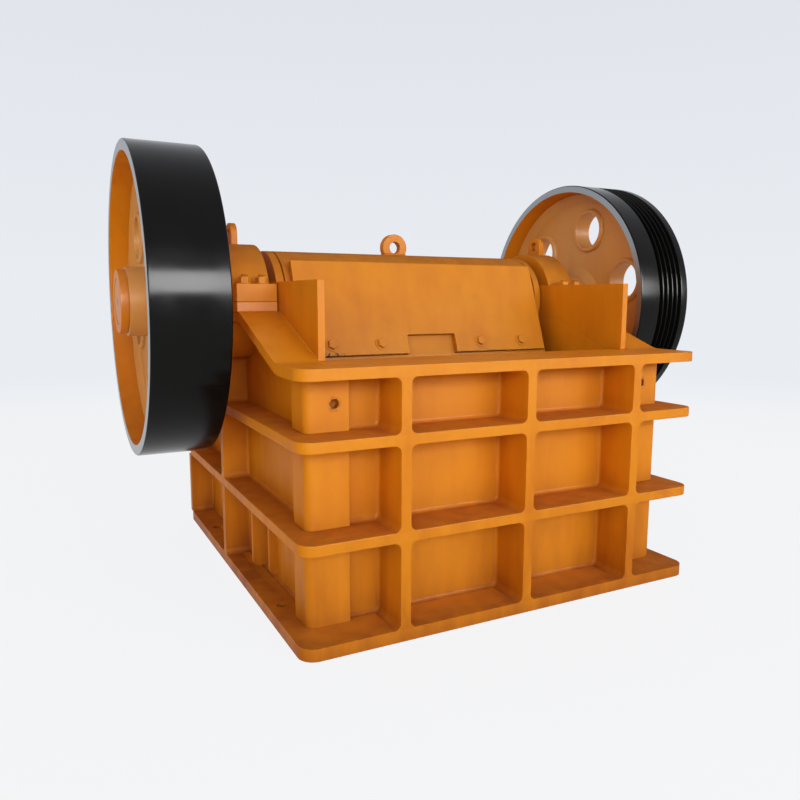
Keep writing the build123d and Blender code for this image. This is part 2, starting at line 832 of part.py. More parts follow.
parts["fixed_jaw_plate"] = make_fixed_jaw()
parts["lifting_eye"] = make_eye()
parts["right_side_liner"] = make_liner()
parts["left_side_liner"] = mirrored(parts["right_side_liner"])
parts["toggle_plate"] = make_toggle()
parts["toggle_block"] = make_toggle_block()
parts["tension_rods"] = as_node([make_tension_rod(-rod_place), make_tension_rod(rod_place)])
parts["tension_springs"] = as_node([make_spring(-rod_place), make_spring(rod_place)])
save_all()
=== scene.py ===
"""Finishes, small fittings and stage for a jaw crusher, laid out as an add-on and run as a script.

Metres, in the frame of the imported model: +X along the shaft towards the belt pulley, +Y from the feed
wall to the rear wall, +Z up, with the origin at the centre of the base's underside.
"""

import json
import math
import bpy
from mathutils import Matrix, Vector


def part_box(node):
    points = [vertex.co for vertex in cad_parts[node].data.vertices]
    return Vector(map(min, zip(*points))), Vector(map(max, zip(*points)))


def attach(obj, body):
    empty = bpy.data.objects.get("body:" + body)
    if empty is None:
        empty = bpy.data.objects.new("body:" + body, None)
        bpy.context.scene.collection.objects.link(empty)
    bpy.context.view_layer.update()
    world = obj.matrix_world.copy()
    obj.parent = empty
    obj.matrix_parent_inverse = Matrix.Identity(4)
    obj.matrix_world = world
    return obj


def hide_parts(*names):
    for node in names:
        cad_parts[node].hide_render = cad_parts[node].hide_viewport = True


bl_info = {
    "name": "Jaw Crusher Finishes",
    "version": (1, 0, 0),
    "blender": (4, 5, 0),
    "location": "3D View > Sidebar > Crusher",
    "description": "Enamel, fittings and stage for a ribbed jaw crusher",
    "category": "Object",
}

import bmesh
import bpy
import numpy as np
from bpy.props import FloatProperty, FloatVectorProperty, PointerProperty
from mathutils import Matrix, Vector

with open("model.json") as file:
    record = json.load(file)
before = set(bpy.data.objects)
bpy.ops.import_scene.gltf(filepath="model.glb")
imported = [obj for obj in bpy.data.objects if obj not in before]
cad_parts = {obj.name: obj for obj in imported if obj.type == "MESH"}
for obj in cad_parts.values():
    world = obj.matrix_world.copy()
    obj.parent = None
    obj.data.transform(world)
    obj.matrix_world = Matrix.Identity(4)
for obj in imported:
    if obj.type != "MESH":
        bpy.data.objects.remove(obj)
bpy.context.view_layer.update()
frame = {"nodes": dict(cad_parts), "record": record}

MM = 0.001


def linear(hex_code):
    """Linear RGBA of an sRGB hex colour: the sRGB curve undone, channel by channel."""
    channels = np.array([int(hex_code[i:i + 2], 16) for i in (1, 3, 5)]) / 255
    low = channels / 12.92
    high = ((channels + 0.055) / 1.055) ** 2.4
    return (*np.where(channels <= 0.04045, low, high).tolist(), 1.0)


def per_mm(feature_mm):
    """Texture scale at which one feature of the pattern is that many millimetres across."""
    return 1 / (feature_mm * MM)


# Places read from the frame, on the right side where both sides are alike
shaft_low, shaft_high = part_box("eccentric_shaft")
shaft_y = (shaft_low.y + shaft_high.y) / 2
shaft_z = (shaft_low.z + shaft_high.z) / 2
base_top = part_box("base_flange")[1].z
lower_ring_low, lower_ring_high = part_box("lower_rib_ring")
upper_ring_low, upper_ring_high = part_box("upper_rib_ring")
deck_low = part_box("front_deck_flange")[0]
front_panel_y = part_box("front_wall")[0].y
rear_panel_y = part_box("rear_wall")[1].y
side_wall_low, side_wall_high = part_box("right_side_wall")
post_low, post_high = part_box("right_corner_post")
cheek_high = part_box("right_cheek_plate")[1]
cap_low, cap_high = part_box("right_bearing_cap")
guard_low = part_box("guard_plate")[0]
eye_low, eye_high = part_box("lifting_eye")
spring_low, spring_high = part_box("tension_springs")
front_ribs_low, front_ribs_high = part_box("front_upright_ribs")

# Sizes of the pieces that their boxes don't give
rib_half = 18 * MM
rib_root_radius = 22 * MM
side_rib_y = 125 * MM
rear_rib_y = 808 * MM
cap_ledge_height = 66 * MM
guard_lean = math.radians(20)
guard_thickness = 25 * MM
lathe_centre_radius = 20 * MM

# Both ends of the feet of the cheek plates, front and rear, as (y, z)
cheek_feet = [
    ((-598 * MM, 907 * MM), (-206 * MM, 1052 * MM)),
    ((436 * MM, 1049 * MM), (664 * MM, 933 * MM)),
]

# Spots of wear: the centre of each and its reach along x, y and z; the post holes are alike on both sides
post_hole = (653 * MM, 708 * MM, 774 * MM)
post_hole_rust = (26 * MM, 40 * MM, 30 * MM)
crumb_place = (-485 * MM, -204 * MM, 884 * MM)
crumb_reach = (100 * MM, 20 * MM, 14 * MM)

# Widths of the patterns in the surfaces, in millimetres
blotch_mm = 330
run_mm = 70
smear_mm = 120
tool_mark_mm = 4
turning_mm = 6
stain_mm = 70
casting_grain_mm = 12
casting_stain_mm = 150
spring_grain_mm = 20

# Reach of the painted shade out of a corner and up from the ground, and how far the patterns rise off the
# surface
corner_shade_reach = 110 * MM
low_shade_height = 500 * MM
wave_height = 2 * MM
peel_height = 0.4 * MM
smear_height = 1 * MM
pit_depth = 1.2 * MM

# Joints and seams of the meshes: what is one point, what is flat and what is a sharp edge
seam_gap = 0.02 * MM
same_point = 0.01 * MM
sliver_edge = 0.005 * MM
flat_angle = math.radians(1)
sharp_angle = math.radians(35)

# Where the frame's upright ribs stand and what lies between its level ones
root_blend_reach = 6 * MM
rib_rows = [
    (base_top, lower_ring_low.z),
    (lower_ring_high.z, upper_ring_low.z),
    (upper_ring_high.z, deck_low.z),
]
front_rib_centre = (front_ribs_low.x + front_ribs_high.x) / 2
front_rib_pitch = (front_ribs_high.x - front_ribs_low.x) / 2 - rib_half - rib_root_radius
front_rib_places = [front_rib_centre + column * front_rib_pitch for column in (-1, 0, 1)]

# Sockets of a Mix node, by number because their names repeat
FLOAT_A, FLOAT_B = 2, 3
VECTOR_A, VECTOR_B = 4, 5
COLOUR_A, COLOUR_B = 6, 7
MIXED_VECTOR = 1
MIXED_COLOUR = 2


def colour_property(name, hex_code, description):
    """A colour that a user may change, given as an sRGB hex value."""
    return FloatVectorProperty(name=name, description=description, subtype="COLOR", size=4, min=0, max=1,
                               default=linear(hex_code))


def length_property(name, millimetres, description):
    """A length that a user may change."""
    return FloatProperty(name=name, description=description, default=millimetres * MM, unit="LENGTH",
                         subtype="DISTANCE", min=0)


class CrusherFinish(bpy.types.PropertyGroup):
    """Colours and wear of the surfaces."""

    enamel: colour_property("Enamel", "#E38C14", "Orange machine enamel on castings and plates")
    enamel_thin: colour_property("Thin enamel", "#D4780F", "Enamel where it is thinner")
    # Paler enamel along edges: partly wear, partly a painted highlight where the edges catch the light
    enamel_edge_highlight: colour_property("Edge enamel", "#F2A02C", "Enamel polished along edges")
    # Red-brown colour of the painted shade in the corners and low down
    painted_shade: colour_property("Grime", "#7E3810", "Old oil and dust that settle in corners")
    # The dust colour also darkens faces that look up as a painted shade
    dust: colour_property("Dust", "#8E5A2C", "Dust on faces that look up")
    stone_dust: colour_property("Stone dust", "#D8C48E", "Pale film of stone dust on the wheels' webs")
    crumbs: colour_property("Crumbs", "#2C1608", "Dark crumbs along the guard's foot")
    rust: colour_property("Rust", "#5E2410", "Rust round open holes")
    rim_black: colour_property("Rim black", "#0C0C0D", "Gloss black enamel on the wheel rims")
    turned_steel: colour_property("Turned steel", "#979A9B", "Bare turned faces of rims and shaft ends")
    cast_steel: colour_property("Cast steel", "#4A4744", "Manganese steel of the jaw plates and liners")
    spring_black: colour_property("Spring black", "#1A1A1B", "Black spring steel")
    edge_radius: length_property("Edge radius", 3.0, "Rounding of the edges of castings and plates")
    rib_edge_radius: length_property("Joined edge radius", 1.5,
                                     "Rounding of the ribs and plates that run into their neighbours")
    coarse_cast_mm: FloatProperty(name="Cast wave", default=60.0, min=1,
                                  description="Width of the waves in a cast surface, in millimetres")
    peel_mm: FloatProperty(name="Enamel ripple", default=9.0, min=1,
                           description="Width of the ripple in sprayed enamel, in millimetres, drawn coarser "
                                       "than the real 2 mm so that it shows")


class CrusherFittings(bpy.types.PropertyGroup):
    """Sizes of the small fittings."""

    fillet_radius: length_property("Fillet radius", 13.0, "Cast fillet round each panel of the frame")
    weld_radius: length_property("Weld radius", 6.0, "Radius of the weld beads")
    weld_ripple: length_property("Weld ripple", 9.0, "Distance between the ripples of a weld bead")
    cap_nut_width: length_property("Cap nut", 41.0, "Width across flats of the nuts on the bearing caps")
    guard_bolt_width: length_property("Guard bolt", 38.0, "Width across flats of the guard's bolts")
    rod_nut_width: length_property("Rod nut", 61.0, "Width across flats of the nuts on the tension rods")
    spring_wire_radius: length_property("Spring wire", 7.0, "Radius of the tension springs' wire")
    spring_turns: FloatProperty(name="Spring turns", default=5.5, min=2,
                                description="Turns of each tension spring")


class CrusherStage(bpy.types.PropertyGroup):
    """Camera, light and floor."""

    horizon: colour_property("Horizon", "#E9EDF2", "Pale background at the horizon, and the floor far away")
    zenith: colour_property("Upper background", "#E1E3EA", "Pale background higher up")
    floor: colour_property("Floor", "#F9FBFE", "Pale floor near the object")
    sky_tint: colour_property("Sky tint", "#FFE3D2", "Colour of the light all round")
    strip_tint: colour_property("Strip tint", "#F1FDE1", "Colour of the long soft light in front")
    strip_power: FloatProperty(name="Strip light", default=500.0, min=0, unit="POWER",
                               description="Power of the long soft light in front, low over the floor")
    sheen_power: FloatProperty(name="Sheen strip", default=4200.0, min=0, unit="POWER",
                               description="Power of the strip that shows in glossy surfaces alone")
    upper_power: FloatProperty(name="Upper light", default=40.0, min=0, unit="POWER",
                               description="Power of the weaker strip above it")
    horizon_strength: FloatProperty(name="Sky at the horizon", default=0.74, min=0,
                                    description="Strength of the light all round, at the horizon")
    zenith_strength: FloatProperty(name="Sky overhead", default=0.27, min=0,
                                   description="Strength of the light all round, overhead")


def add_node(tree, kind, inputs=None, **settings):
    """Adds a node with its settings; inputs map a socket to a value or to another node's output."""
    node = tree.nodes.new(kind)
    for name, value in settings.items():
        setattr(node, name, value)
    for socket, value in (inputs or {}).items():
        if isinstance(value, bpy.types.NodeSocket):
            tree.links.new(value, node.inputs[socket])
        else:
            node.inputs[socket].default_value = value
    return node


def new_material(name):
    """An empty node material with its output and its Object coordinates."""
    material = bpy.data.materials.new(name)
    material.use_nodes = True
    tree = material.node_tree
    tree.nodes.clear()
    place = add_node(tree, "ShaderNodeTexCoord")
    return material, tree, place


def finish_material(tree, shader):
    add_node(tree, "ShaderNodeOutputMaterial", {"Surface": shader.outputs[0]})


def spot(tree, where, centre, reach):
    """One near the centre, fading to zero at the skin of an ellipsoid with those half lengths."""
    offset = add_node(tree, "ShaderNodeVectorMath", {0: where, 1: centre}, operation="SUBTRACT")
    shrunk = add_node(tree, "ShaderNodeVectorMath", {0: offset.outputs[0], 1: reach}, operation="DIVIDE")
    distance = add_node(tree, "ShaderNodeVectorMath", {0: shrunk.outputs[0]}, operation="LENGTH")
    return add_node(tree, "ShaderNodeMapRange",
                    {"Value": distance.outputs["Value"], "From Min": 1.0, "From Max": 0.55})


def enamel_layers(tree, place, finish, film=0.0, settling=0.35, polish=0.45):
    """Colour, roughness and bump of the orange enamel, as three sockets.

    Sprayed over rough castings and welded plate: the eye sees broad soft waves, a fine ripple, paler edges
    that are partly wear and partly a painted highlight, a film of dust on what looks up that is partly a
    painted shade on the tops, and a red-brown painted shade in the corners and low down. The open holes in
    the corner posts are rusty and dark crumbs stick to the guard's foot. Film is the share of pale stone dust
    all over; the next two are the shares of brown dust with painted shade on level tops and of painted
    highlight with wear on edges.
    """
    where = place.outputs["Object"]
    blotches = add_node(tree, "ShaderNodeTexNoise",
                        {"Vector": where, "Scale": per_mm(blotch_mm), "Detail": 3.0})
    drawn_down = add_node(tree, "ShaderNodeVectorMath", {0: where, 1: (1, 1, 0.2)}, operation="MULTIPLY")
    runs = add_node(tree, "ShaderNodeTexNoise",
                    {"Vector": drawn_down.outputs[0], "Scale": per_mm(run_mm), "Detail": 4.0})
    waves = add_node(tree, "ShaderNodeTexNoise",
                     {"Vector": where, "Scale": per_mm(finish.coarse_cast_mm), "Detail": 4.0,
                      "Roughness": 0.55})
    peel = add_node(tree, "ShaderNodeTexNoise",
                    {"Vector": where, "Scale": per_mm(finish.peel_mm), "Detail": 2.0})

    # Uneven coats of enamel
    patches = add_node(tree, "ShaderNodeMath", {0: blotches.outputs["Fac"], 1: runs.outputs["Fac"]})
    thin = add_node(tree, "ShaderNodeMapRange",
                    {"Value": patches.outputs[0], "From Min": 0.9, "From Max": 1.3, "To Max": 0.8})
    body = add_node(tree, "ShaderNodeMix",
                    {"Factor": thin.outputs[0], COLOUR_A: finish.enamel, COLOUR_B: finish.enamel_thin},
                    data_type="RGBA")

    # Dust on what looks up, in the waves' valleys first; it also darkens the tops as a painted shade
    normal = add_node(tree, "ShaderNodeSeparateXYZ", {"Vector": place.outputs["Normal"]})
    upward = add_node(tree, "ShaderNodeMapRange",
                      {"Value": normal.outputs["Z"], "From Min": 0.2, "From Max": 0.85, "To Max": settling})
    settled = add_node(tree, "ShaderNodeMapRange",
                       {"Value": waves.outputs["Fac"], "From Min": 0.3, "From Max": 0.65, "To Min": 0.6})
    dust = add_node(tree, "ShaderNodeMath", {0: upward.outputs[0], 1: settled.outputs[0]},
                    operation="MULTIPLY")
    dusty_and_shaded = add_node(tree, "ShaderNodeMix",
                     {"Factor": dust.outputs[0], COLOUR_A: body.outputs[MIXED_COLOUR],
                      COLOUR_B: finish.dust}, data_type="RGBA")

    # Painted shade in red-brown: darker low down along the runs, where the light falls off, and in the
    # corners
    height = add_node(tree, "ShaderNodeSeparateXYZ", {"Vector": where})
    low_down = add_node(tree, "ShaderNodeMapRange",
                        {"Value": height.outputs["Z"], "From Min": low_shade_height, "From Max": 0.0,
                         "To Max": 0.8})
    low_shaded = add_node(tree, "ShaderNodeMath", {0: low_down.outputs[0], 1: runs.outputs["Fac"]},
                        operation="MULTIPLY")
    corner = add_node(tree, "ShaderNodeAmbientOcclusion", {"Distance": corner_shade_reach}, samples=6)
    corner_shade = add_node(tree, "ShaderNodeMapRange",
                      {"Value": corner.outputs["AO"], "From Min": 0.35, "From Max": 0.85, "To Min": 0.4,
                       "To Max": 0.0})
    painted_shade_share = add_node(tree, "ShaderNodeMath", {0: low_shaded.outputs[0], 1: corner_shade.outputs[0]},
                    operation="ADD", use_clamp=True)
    corner_and_low_shaded = add_node(tree, "ShaderNodeMix",
                     {"Factor": painted_shade_share.outputs[0], COLOUR_A: dusty_and_shaded.outputs[MIXED_COLOUR],
                      COLOUR_B: finish.painted_shade}, data_type="RGBA")

    # Stone dust all over, and edges paler, partly from wear and partly as a painted highlight
    filmed = add_node(tree, "ShaderNodeMix",
                      {"Factor": film, COLOUR_A: corner_and_low_shaded.outputs[MIXED_COLOUR], COLOUR_B: finish.stone_dust},
                      data_type="RGBA")
    shape = add_node(tree, "ShaderNodeNewGeometry")
    edge = add_node(tree, "ShaderNodeMapRange",
                    {"Value": shape.outputs["Pointiness"], "From Min": 0.52, "From Max": 0.62,
                     "To Max": polish})
    polished = add_node(tree, "ShaderNodeMix",
                        {"Factor": edge.outputs[0], COLOUR_A: filmed.outputs[MIXED_COLOUR],
                         COLOUR_B: finish.enamel_edge_highlight}, data_type="RGBA")

    # Rust round the post holes and crumbs at the guard's foot
    both_sides = add_node(tree, "ShaderNodeVectorMath", {0: where}, operation="ABSOLUTE")
    hole = spot(tree, both_sides.outputs[0], post_hole, post_hole_rust)
    ragged = add_node(tree, "ShaderNodeMapRange",
                      {"Value": peel.outputs["Fac"], "From Min": 0.35, "From Max": 0.55, "To Max": 0.6})
    rusted = add_node(tree, "ShaderNodeMath", {0: hole.outputs[0], 1: ragged.outputs[0]},
                      operation="MULTIPLY")
    rusty = add_node(tree, "ShaderNodeMix",
                     {"Factor": rusted.outputs[0], COLOUR_A: polished.outputs[MIXED_COLOUR],
                      COLOUR_B: finish.rust}, data_type="RGBA")
    heap = spot(tree, where, crumb_place, crumb_reach)
    grains = add_node(tree, "ShaderNodeMapRange",
                      {"Value": peel.outputs["Fac"], "From Min": 0.48, "From Max": 0.54})
    strewn = add_node(tree, "ShaderNodeMath", {0: heap.outputs[0], 1: grains.outputs[0]},
                      operation="MULTIPLY")
    colour = add_node(tree, "ShaderNodeMix",
                      {"Factor": strewn.outputs[0], COLOUR_A: rusty.outputs[MIXED_COLOUR],
                       COLOUR_B: finish.crumbs}, data_type="RGBA")

    # Rougher where the waves rise and where dust lies
    sheen = add_node(tree, "ShaderNodeMapRange",
                     {"Value": waves.outputs["Fac"], "To Min": 0.34, "To Max": 0.56})
    roughness = add_node(tree, "ShaderNodeMath", {0: sheen.outputs[0], 1: dust.outputs[0]},
                         operation="ADD")
    soft = add_node(tree, "ShaderNodeBump",
                    {"Height": waves.outputs["Fac"], "Strength": 0.5, "Distance": wave_height})
    ripple = add_node(tree, "ShaderNodeBump",
                      {"Height": peel.outputs["Fac"], "Strength": 0.35, "Distance": peel_height,
                       "Normal": soft.outputs[0]})
    return colour.outputs[MIXED_COLOUR], roughness.outputs[0], ripple.outputs[0]


def make_enamel(finish, name="orange_machine_enamel", gloss=0.08, **wear):
    """Orange machine enamel over castings and plates: satin, and glossier on turned and milled faces."""
    if name in bpy.data.materials:
        return bpy.data.materials[name]
    material, tree, place = new_material(name)
    colour, roughness, bump = enamel_layers(tree, place, finish, **wear)
    shader = add_node(tree, "ShaderNodeBsdfPrincipled",
                      {"Base Color": colour, "Roughness": roughness, "Specular IOR Level": gloss,
                       "Normal": bump})
    finish_material(tree, shader)
    return material


def radius_from_shaft(tree, where):
    """Distance of a point from the shaft's axis."""
    centred = add_node(tree, "ShaderNodeVectorMath", {0: where, 1: (0, shaft_y, shaft_z)},
                       operation="SUBTRACT")
    flat = add_node(tree, "ShaderNodeVectorMath", {0: centred.outputs[0], 1: (0, 1, 1)},
                    operation="MULTIPLY")
    return add_node(tree, "ShaderNodeVectorMath", {0: flat.outputs[0]}, operation="LENGTH")


def make_rim_finish(finish, name, inner_radius):
    """A wheel's rim: gloss black outside, bare turned steel on both side faces, orange enamel inside.

    The black reflects the lamps in a sharp band, the turned faces show faint rings, one tool mark a
    millimetre, drawn 4 mm apart so that they show.
    """
    material, tree, place = new_material(name)
    colour, roughness, bump = enamel_layers(tree, place, finish)
    where = place.outputs["Object"]

    # Which zone a point is in
    inner_skin = 2 * MM
    radius = radius_from_shaft(tree, where)
    outside = add_node(tree, "ShaderNodeMath",
                       {0: radius.outputs["Value"], 1: inner_radius + inner_skin},
                       operation="GREATER_THAN")
    normal = add_node(tree, "ShaderNodeSeparateXYZ", {"Vector": place.outputs["Normal"]})
    sideways = add_node(tree, "ShaderNodeMath", {0: normal.outputs["X"]}, operation="ABSOLUTE")
    side_face = add_node(tree, "ShaderNodeMath", {0: sideways.outputs[0], 1: 0.95},
                         operation="GREATER_THAN")
    metal = add_node(tree, "ShaderNodeMath", {0: outside.outputs[0], 1: side_face.outputs[0]},
                     operation="MULTIPLY")

    # Smeared gloss on the black, rings on the turned faces
    smears = add_node(tree, "ShaderNodeTexNoise",
                      {"Vector": where, "Scale": per_mm(smear_mm), "Detail": 5.0})
    gloss = add_node(tree, "ShaderNodeMapRange",
                     {"Value": smears.outputs["Fac"], "From Min": 0.35, "From Max": 0.7, "To Min": 0.14,
                      "To Max": 0.22})
    rings = add_node(tree, "ShaderNodeMath",
                     {0: radius.outputs["Value"], 1: per_mm(tool_mark_mm) * 2 * math.pi},
                     operation="MULTIPLY")
    tool_marks = add_node(tree, "ShaderNodeMath", {0: rings.outputs[0]}, operation="SINE")
    turned_rough = add_node(tree, "ShaderNodeMapRange",
                            {"Value": tool_marks.outputs[0], "From Min": -1.0, "To Min": 0.3,
                             "To Max": 0.42})
    smooth = add_node(tree, "ShaderNodeBump",
                      {"Height": smears.outputs["Fac"], "Strength": 0.2, "Distance": smear_height})

    # The zones put together
    outer_colour = add_node(tree, "ShaderNodeMix",
                            {"Factor": side_face.outputs[0], COLOUR_A: finish.rim_black,
                             COLOUR_B: finish.turned_steel}, data_type="RGBA")
    outer_rough = add_node(tree, "ShaderNodeMix",
                           {"Factor": side_face.outputs[0], FLOAT_A: gloss.outputs[0],
                            FLOAT_B: turned_rough.outputs[0]})
    whole_colour = add_node(tree, "ShaderNodeMix",
                            {"Factor": outside.outputs[0], COLOUR_A: colour,
                             COLOUR_B: outer_colour.outputs[MIXED_COLOUR]}, data_type="RGBA")
    whole_rough = add_node(tree, "ShaderNodeMix",
                           {"Factor": outside.outputs[0], FLOAT_A: roughness,
                            FLOAT_B: outer_rough.outputs[0]})
    relief = add_node(tree, "ShaderNodeMix",
                      {"Factor": outside.outputs[0], VECTOR_A: bump, VECTOR_B: smooth.outputs[0]},
                      data_type="VECTOR")
    shader = add_node(tree, "ShaderNodeBsdfPrincipled",
                      {"Base Color": whole_colour.outputs[MIXED_COLOUR],
                       "Roughness": whole_rough.outputs[0], "Metallic": metal.outputs[0],
                       "Specular IOR Level": 0.11, "Normal": relief.outputs[MIXED_VECTOR]})
    finish_material(tree, shader)
    return material


def turning_marks(tree, where):
    """Roughness of a turned surface, lightly oiled, with fine marks of the tool."""
    marks = add_node(tree, "ShaderNodeTexNoise",
                     {"Vector": where, "Scale": per_mm(turning_mm), "Detail": 3.0})
    return add_node(tree, "ShaderNodeMapRange",
                    {"Value": marks.outputs["Fac"], "To Min": 0.25, "To Max": 0.45})


def make_shaft_finish(finish):
    """The shaft: turned steel, lightly oiled, with both end faces painted over except the lathe centres."""
    material, tree, place = new_material("turned_shaft_with_painted_ends")
    colour, roughness, bump = enamel_layers(tree, place, finish)
    where = place.outputs["Object"]
    steel_rough = turning_marks(tree, where)
    painted_length = 30 * MM
    radius = radius_from_shaft(tree, where)
    ringed = add_node(tree, "ShaderNodeMath",
                      {0: radius.outputs["Value"], 1: lathe_centre_radius}, operation="GREATER_THAN")
    apart = add_node(tree, "ShaderNodeSeparateXYZ", {"Vector": where})
    sideways = add_node(tree, "ShaderNodeMath", {0: apart.outputs["X"]}, operation="ABSOLUTE")
    at_end = add_node(tree, "ShaderNodeMath", {0: sideways.outputs[0], 1: -shaft_low.x - painted_length},
                      operation="GREATER_THAN")
    painted = add_node(tree, "ShaderNodeMath", {0: ringed.outputs[0], 1: at_end.outputs[0]},
                       operation="MULTIPLY")
    whole_colour = add_node(tree, "ShaderNodeMix",
                            {"Factor": painted.outputs[0], COLOUR_A: finish.turned_steel,
                             COLOUR_B: colour}, data_type="RGBA")
    whole_rough = add_node(tree, "ShaderNodeMix",
                           {"Factor": painted.outputs[0], FLOAT_A: steel_rough.outputs[0],
                            FLOAT_B: roughness})
    bare = add_node(tree, "ShaderNodeMath", {0: 1.0, 1: painted.outputs[0]}, operation="SUBTRACT")
    shader = add_node(tree, "ShaderNodeBsdfPrincipled",
                      {"Base Color": whole_colour.outputs[MIXED_COLOUR],
                       "Roughness": whole_rough.outputs[0], "Metallic": bare.outputs[0],
                       "Normal": bump})
    finish_material(tree, shader)
    return material


def make_turned_steel(finish):
    """Turned steel, lightly oiled: grey metal with fine marks round the bar."""
    material, tree, place = new_material("turned_steel")
    where = place.outputs["Object"]
    roughness = turning_marks(tree, where)
    stains = add_node(tree, "ShaderNodeTexNoise",
                      {"Vector": where, "Scale": per_mm(stain_mm), "Detail": 4.0})
    tint = add_node(tree, "ShaderNodeMapRange",
                    {"Value": stains.outputs["Fac"], "From Min": 0.45, "From Max": 0.7, "To Max": 0.5})
    colour = add_node(tree, "ShaderNodeMix",
                      {"Factor": tint.outputs[0], COLOUR_A: finish.turned_steel,
                       COLOUR_B: finish.cast_steel}, data_type="RGBA")
    shader = add_node(tree, "ShaderNodeBsdfPrincipled",
                      {"Base Color": colour.outputs[MIXED_COLOUR], "Metallic": 1.0,
                       "Roughness": roughness.outputs[0]})
    finish_material(tree, shader)
    return material


def make_cast_steel(finish):
    """Manganese steel as cast: dull dark grey skin with a pitted grain and brown dust in the valleys."""
    material, tree, place = new_material("cast_manganese_steel")
    where = place.outputs["Object"]
    grain = add_node(tree, "ShaderNodeTexNoise",
                     {"Vector": where, "Scale": per_mm(casting_grain_mm), "Detail": 5.0,
                      "Roughness": 0.65})
    stains = add_node(tree, "ShaderNodeTexNoise",
                      {"Vector": where, "Scale": per_mm(casting_stain_mm), "Detail": 4.0})
    rust = add_node(tree, "ShaderNodeMapRange",
                    {"Value": stains.outputs["Fac"], "From Min": 0.45, "From Max": 0.7, "To Max": 0.55})
    colour = add_node(tree, "ShaderNodeMix",
                      {"Factor": rust.outputs[0], COLOUR_A: finish.cast_steel, COLOUR_B: finish.dust},
                      data_type="RGBA")
    roughness = add_node(tree, "ShaderNodeMapRange",
                         {"Value": grain.outputs["Fac"], "To Min": 0.45, "To Max": 0.75})
    pits = add_node(tree, "ShaderNodeBump",
                    {"Height": grain.outputs["Fac"], "Strength": 0.6, "Distance": pit_depth})
    shader = add_node(tree, "ShaderNodeBsdfPrincipled",
                      {"Base Color": colour.outputs[MIXED_COLOUR], "Metallic": 0.6,
                       "Roughness": roughness.outputs[0], "Normal": pits.outputs[0]})
    finish_material(tree, shader)
    return material


def make_spring_black(finish):
    """Blackened spring steel with dust on its upper side."""
    material, tree, place = new_material("black_spring_steel")
    grain = add_node(tree, "ShaderNodeTexNoise",
                     {"Vector": place.outputs["Object"], "Scale": per_mm(spring_grain_mm), "Detail": 3.0})
    normal = add_node(tree, "ShaderNodeSeparateXYZ", {"Vector": place.outputs["Normal"]})
    upward = add_node(tree, "ShaderNodeMapRange",
                      {"Value": normal.outputs["Z"], "From Min": 0.2, "To Max": 0.35})
    colour = add_node(tree, "ShaderNodeMix",
                      {"Factor": upward.outputs[0], COLOUR_A: finish.spring_black,
                       COLOUR_B: finish.dust}, data_type="RGBA")
    roughness = add_node(tree, "ShaderNodeMapRange",
                         {"Value": grain.outputs["Fac"], "To Min": 0.35, "To Max": 0.6})
    shader = add_node(tree, "ShaderNodeBsdfPrincipled",
                      {"Base Color": colour.outputs[MIXED_COLOUR], "Roughness": roughness.outputs[0]})
    finish_material(tree, shader)
    return material


def round_edges(node, radius):
    """Welds a node's loose triangles, joins its flat ones and rounds its sharp edges, as modifiers.

    The shading then follows the larger faces, so that flats look flat and turned faces look round.
    """
    weld = node.modifiers.new("weld", "WELD")
    weld.merge_threshold = seam_gap
    flat = node.modifiers.new("flat", "DECIMATE")
    flat.decimate_type = "DISSOLVE"
    flat.angle_limit = flat_angle
    bevel = node.modifiers.new("edges", "BEVEL")
    bevel.width = radius
    bevel.segments = 2
    bevel.limit_method = "ANGLE"
    bevel.angle_limit = sharp_angle
    shading = node.modifiers.new("shading", "WEIGHTED_NORMAL")
    shading.weight = 100
    shading.keep_sharp = True


def new_piece(name, points, closed_u, closed_v, body, material):
    """A mesh piece from grids of points, shaped (grids, rows, columns, 3), which rides on a body.

    Each grid is a surface of two parameters; closed_u joins its last column to its first, and closed_v
    its last row to its first. Rows that shrink to a point close as poles.
    """
    grids, rows, columns, _ = points.shape
    row = np.arange(rows if closed_v else rows - 1)
    column = np.arange(columns if closed_u else columns - 1)
    grid, row, column = np.meshgrid(np.arange(grids), row, column, indexing="ij")
    next_row = (row + 1) % rows
    next_column = (column + 1) % columns
    start = grid * rows * columns
    corners = [start + row * columns + column, start + row * columns + next_column,
               start + next_row * columns + next_column, start + next_row * columns + column]
    faces = np.stack(corners, axis=-1).reshape(-1, 4)
    mesh = bpy.data.meshes.new(name)
    mesh.from_pydata(points.reshape(-1, 3).tolist(), [], faces.tolist())
    cleaned = bmesh.new()
    cleaned.from_mesh(mesh)
    bmesh.ops.remove_doubles(cleaned, verts=cleaned.verts, dist=same_point)
    bmesh.ops.dissolve_degenerate(cleaned, edges=cleaned.edges, dist=sliver_edge)
    bmesh.ops.recalc_face_normals(cleaned, faces=cleaned.faces)
    cleaned.to_mesh(mesh)
    cleaned.free()
    mesh.materials.append(material)
    piece = bpy.data.objects.new(name, mesh)
    bpy.context.scene.collection.objects.link(piece)
    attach(piece, body)
    return piece


def shade_by_angle(piece, degrees):
    """Smooth shading, with the edges sharper than that angle kept sharp."""
    piece.data.shade_smooth()
    piece.data.set_sharp_from_angle(angle=math.radians(degrees))


def turned_points(profile, around, centre, axis, across):
    """Grid of a turned shape: radius and height of the profile, swung round an axis through a centre.

    Row i, column j is centre + height_i * axis + radius_ij * (cos t_j * across + sin t_j * axis x across).
    Radii may be one per row, or one per row and column.
    """
    axis = np.asarray(axis, float)
    across = np.asarray(across, float)
    other = np.cross(axis, across)
    angle = np.linspace(0, 2 * np.pi, around, endpoint=False)
    heights, radii = profile
    radii = np.asarray(radii, float)
    if radii.ndim == 1:
        radii = np.repeat(radii[:, None], around, axis=1)
    spoke = np.cos(angle)[:, None] * across + np.sin(angle)[:, None] * other
    return np.asarray(centre) + np.asarray(heights)[:, None, None] * axis + radii[..., None] * spoke


